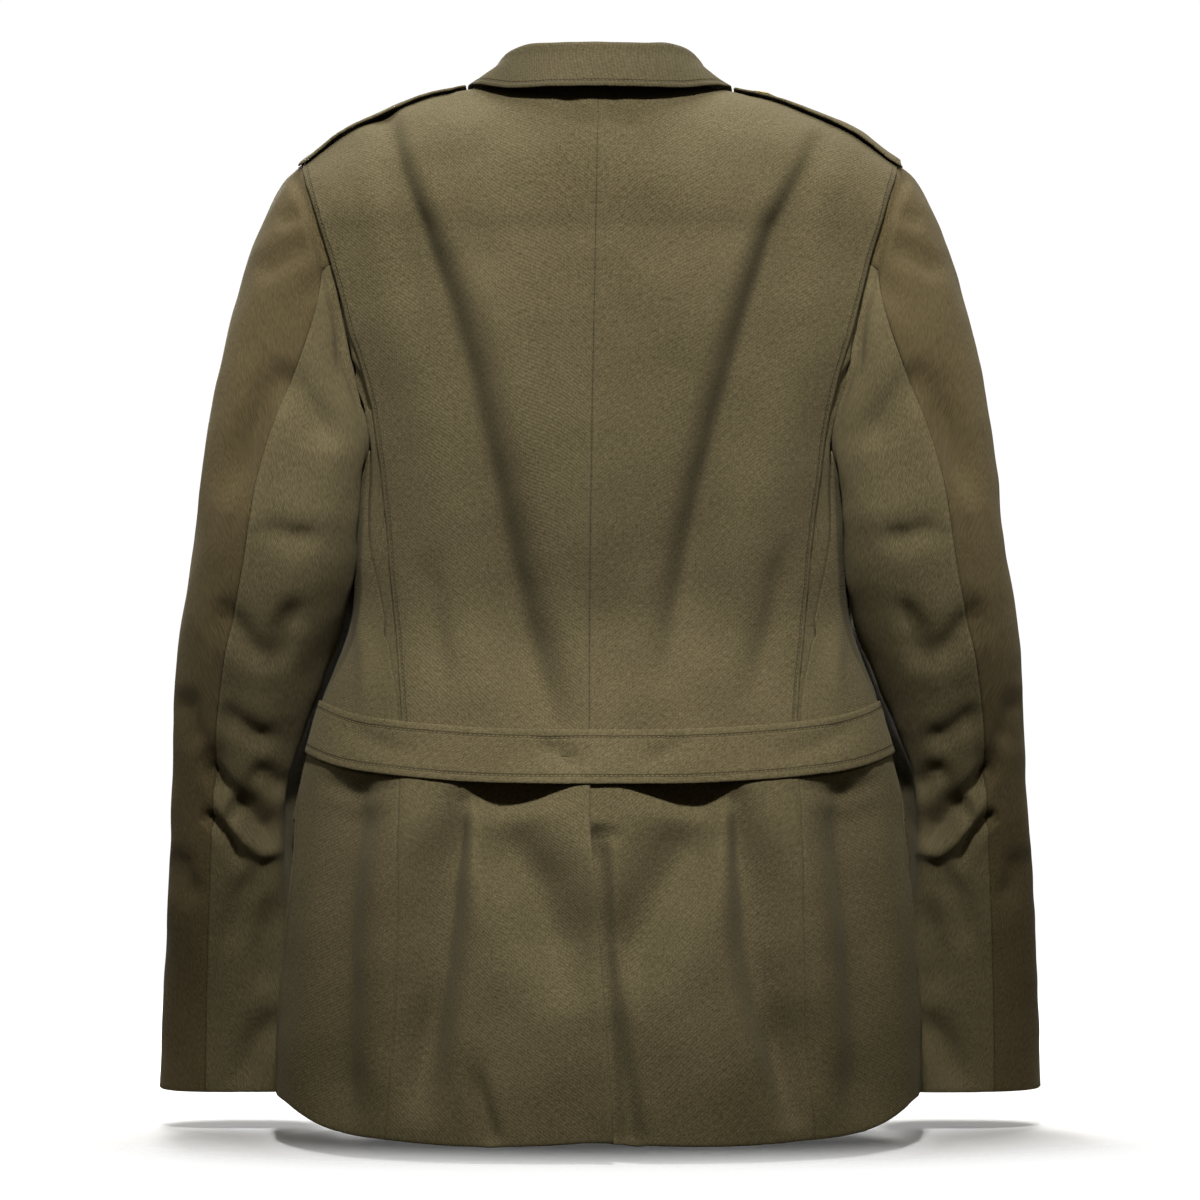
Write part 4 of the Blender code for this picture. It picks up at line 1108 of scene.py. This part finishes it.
def flap_grid():
    """A pocket flap on the front's side, hanging a little away from the cloth at its foot."""
    columns = 20
    grid, lift = [], []
    for share in spread(0, 1, 9):
        row = []
        for t in spread(0, 1, columns):
            corner = 0.006 * (abs(2 * t - 1) ** 6)
            z = FLAP_TOP - FLAP_DEPTH + corner + (FLAP_DEPTH - corner) * share
            row.append(ring(math.radians(-6 - 44 * t), z))
        grid.append(row)
        lift.append([WALL + LAYER + 0.0035 * (1 - share)] * columns)
    return hung(grid), np.array(lift)


def strap_grid():
    """The shoulder strap, lying along the shoulder seam from the sleeve to the collar."""
    grid = []
    for t in spread(0, 1, 24):
        x = STRAP_OUT + (STRAP_IN - 0.006 - STRAP_OUT) * t
        half = STRAP_HALF * (1 - 0.12 * t) * (1 if t < 0.94 else 0.62)
        grid.append([on_shoulder(x, half * s) for s in spread(-1, 1, 11)])
    return np.array(grid)


def on_shoulder(x, across):
    """A point of the strap, this far behind (or in front of) its middle line."""
    across -= STRAP_FORWARD * (1 - ease(abs(x), 0.110, 0.185))
    behind = across >= 0
    start = shoulder(x, 0.0, behind)
    end = shoulder(x, 1.0, behind)
    whole = whole_turn(abs(x))
    depth = across / (start[1] - end[1])
    phi = math.acos(min(math.cos(whole) + depth * (1 - math.cos(whole)), 1.0))
    point = shoulder(x, phi / whole, behind)
    point[2] += (1 - STRAP_BEND) * (end[2] - point[2])
    return point


# ---------------- the jacket
def make_body():
    for side, name in ((1, "back_left"), (-1, "back_right")):
        cloth(name, back_half(side), "wool", folds=BODY_FOLDS, stitched=("last",))
    pair("pleat", pleat_layer(), "wool", -(WALL + PLEAT_GAP), folds=BODY_FOLDS)
    pair("side_back", side_back(), "wool", folds=BODY_FOLDS)
    for side, name in ((1, "skirt_left"), (-1, "skirt_right")):
        grid, lift = skirt_half(side)
        cloth(name, grid, "wool", lift, folds=BODY_FOLDS + VENT_FOLDS[name])


def make_fronts():
    for side, name in ((1, "front_left"), (-1, "front_right")):
        grid, lift = front_half(side)
        cloth(name, grid * (side, 1, 1), "wool", lift, folds=BODY_FOLDS, cell=CELL * 1.3)
    for side, name in ((1, "lapel_left"), (-1, "lapel_right")):
        grid = lapel(covered=side < 0)
        lift = WALL + LAYER + 0.0018 * ease(grid[..., 2], -0.110, -0.085)
        cloth(name, grid * (side, 1, 1), "wool", lift, folds=BODY_FOLDS,
              stitched=("last", "high"), under="wool")


def make_sleeves():
    loop = armhole_loop()
    gap, fore = -0.03, -0.03
    top = sleeve_piece(shifted(FORE_SEAM, -360, fore), shifted(HIND_SEAM, 0, -gap), 20, loop)
    under = sleeve_piece(shifted(HIND_SEAM, 0, gap), shifted(FORE_SEAM, 0, -fore), 16, loop)
    inside = (0.25, -0.04, -0.4)
    options = {"border": 1, "cell": CELL * 1.25}
    # The top sleeves take the darker wool, which is painted shade. The under sleeves take the
    # lighter wool, which is painted light.
    for node, grid, look in (("top_sleeve", top, "shade"), ("under_sleeve", under, "wool_sleeve_painted_light")):
        cloth(node + "_left", grid, look, about=inside, folds=SLEEVE_FOLDS, **options)
        cloth(node + "_right", mirrored(grid), look, about=mirrored(inside),
              folds=other_side(SLEEVE_FOLDS), **options)


def make_trim():
    # The collar's wool is a darker copy, which is painted shade. The belt's wool is a lighter
    # copy, which is painted light.
    cloth("collar", collar_grid(), "wool_collar_painted_shade", stitched=("last",), under="wool")
    cloth("half_belt", belt_grid(), "wool_belt_painted_light", WALL + LAYER, stitched=("low", "high"),
          folds=BELT_FOLDS, under="wool")
    grid, lift = flap_grid()
    pair("pocket_flap", grid, "wool", lift, stitched=("low", "first", "last"), under="wool")
    grid = strap_grid()
    lift = [[WALL + LAYER + 0.0012 * (1 - ease(p[0], 0.185, 0.210)) for p in row] for row in grid]
    pair("shoulder_strap", grid, "wool", lift, stitched=("low", "high", "last"), under="wool")


def finish_buttons():
    for name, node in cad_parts.items():
        if "button" in name:
            node.data.materials.clear()
            node.data.materials.append(MATERIALS["brass"])


# ---------------- floor, light and camera
def make_floor():
    corners = [(x, y, 0.0) for x, y in ((-1, -1), (1, -1), (1, 1), (-1, 1))]
    mesh = bpy.data.meshes.new("floor")
    mesh.from_pydata(corners, [], [(0, 1, 2, 3)])
    mesh.materials.append(paper("floor"))
    floor = bpy.data.objects.new("floor", mesh)
    floor.location = (0.0, -0.60, FLOOR)
    bpy.context.scene.collection.objects.link(floor)


def hang(name, lamp, place, target):
    """Puts a lamp at its place, turned to its target."""
    light = bpy.data.objects.new(name, lamp)
    light.location = place
    way = Vector(target) - Vector(place)
    light.rotation_euler = way.to_track_quat("-Z", "Y").to_euler()
    light.visible_camera = False
    bpy.context.scene.collection.objects.link(light)


def make_softbox(name, place, target, size, power_watts):
    lamp = bpy.data.lights.new(name, "AREA")
    lamp.shape = "DISK"
    lamp.size = size
    lamp.energy = power_watts
    hang(name, lamp, place, target)


def make_spot(name, place, target, cone_degrees, power_watts):
    lamp = bpy.data.lights.new(name, "SPOT")
    lamp.spot_size = math.radians(cone_degrees)
    lamp.spot_blend = 1.0
    lamp.shadow_soft_size = 0.12
    lamp.energy = power_watts
    hang(name, lamp, place, target)


def make_world():
    """White behind the jacket. Elsewhere it is dim and warm, and dimmest below."""
    n = Nodes(bpy.data.worlds.new("studio"))
    place = n.add("ShaderNodeTexCoord", {}).outputs["Generated"]
    parts = n.add("ShaderNodeSeparateXYZ", {0: place}).outputs
    dim = n.tree.nodes["Background"]
    n.put(dim.inputs["Color"], (1.0, 0.90, 0.66, 1.0))
    n.put(dim.inputs["Strength"], n.smooth(parts["Z"], -0.40, 0.60, 0.02, 0.28))
    inputs = {"Color": (1.0, 1.0, 1.0, 1.0), "Strength": 1.03}
    white = n.add("ShaderNodeBackground", inputs).outputs[0]
    behind = n.smooth(parts["Y"], -0.97, -0.75, 1.0, 0.0)
    both = n.add("ShaderNodeMixShader", {0: behind, 1: dim.outputs[0], 2: white}).outputs[0]
    n.put(n.tree.nodes["World Output"].inputs["Surface"], both)
    bpy.context.scene.world = n.made
    bpy.context.scene.view_settings.view_transform = "Standard"


def make_camera():
    lens = bpy.data.cameras.new("camera")
    lens.lens = lens.sensor_width * (CAMERA[1] - PLANE) / (FRAME * PIXEL)
    lens.clip_start, lens.clip_end = 0.05, 200.0
    camera = bpy.data.objects.new("camera", lens)
    camera.location = CAMERA
    camera.rotation_euler = (math.pi / 2, 0.0, math.pi)
    bpy.context.scene.collection.objects.link(camera)
    bpy.context.scene.camera = camera


make_camera()
make_world()
key_place = (0.0, 1.90, 1.30)
make_spot("key", key_place, (0.0, 0.10, -0.12), 26.0, 490.0)
make_spot("key_low", key_place, (0.0, 0.10, -0.60), 12.0, 300.0)
for name, way in (("side_left", 1), ("side_right", -1)):
    make_spot(name, (1.5 * way, 1.2, 0.7), (0.31 * way, 0.0, -0.25), 13.0, 165.0)
make_softbox("overhead", (0.0, -0.60, 1.50), (0.0, -0.60, 0.0), 2.0, 85.0)
make_softbox("front", (0.7, -2.8, 0.5), (0.0, 0.0, -0.40), 0.9, 75.0)
make_floor()
make_body()
make_fronts()
make_sleeves()
make_trim()
finish_buttons()
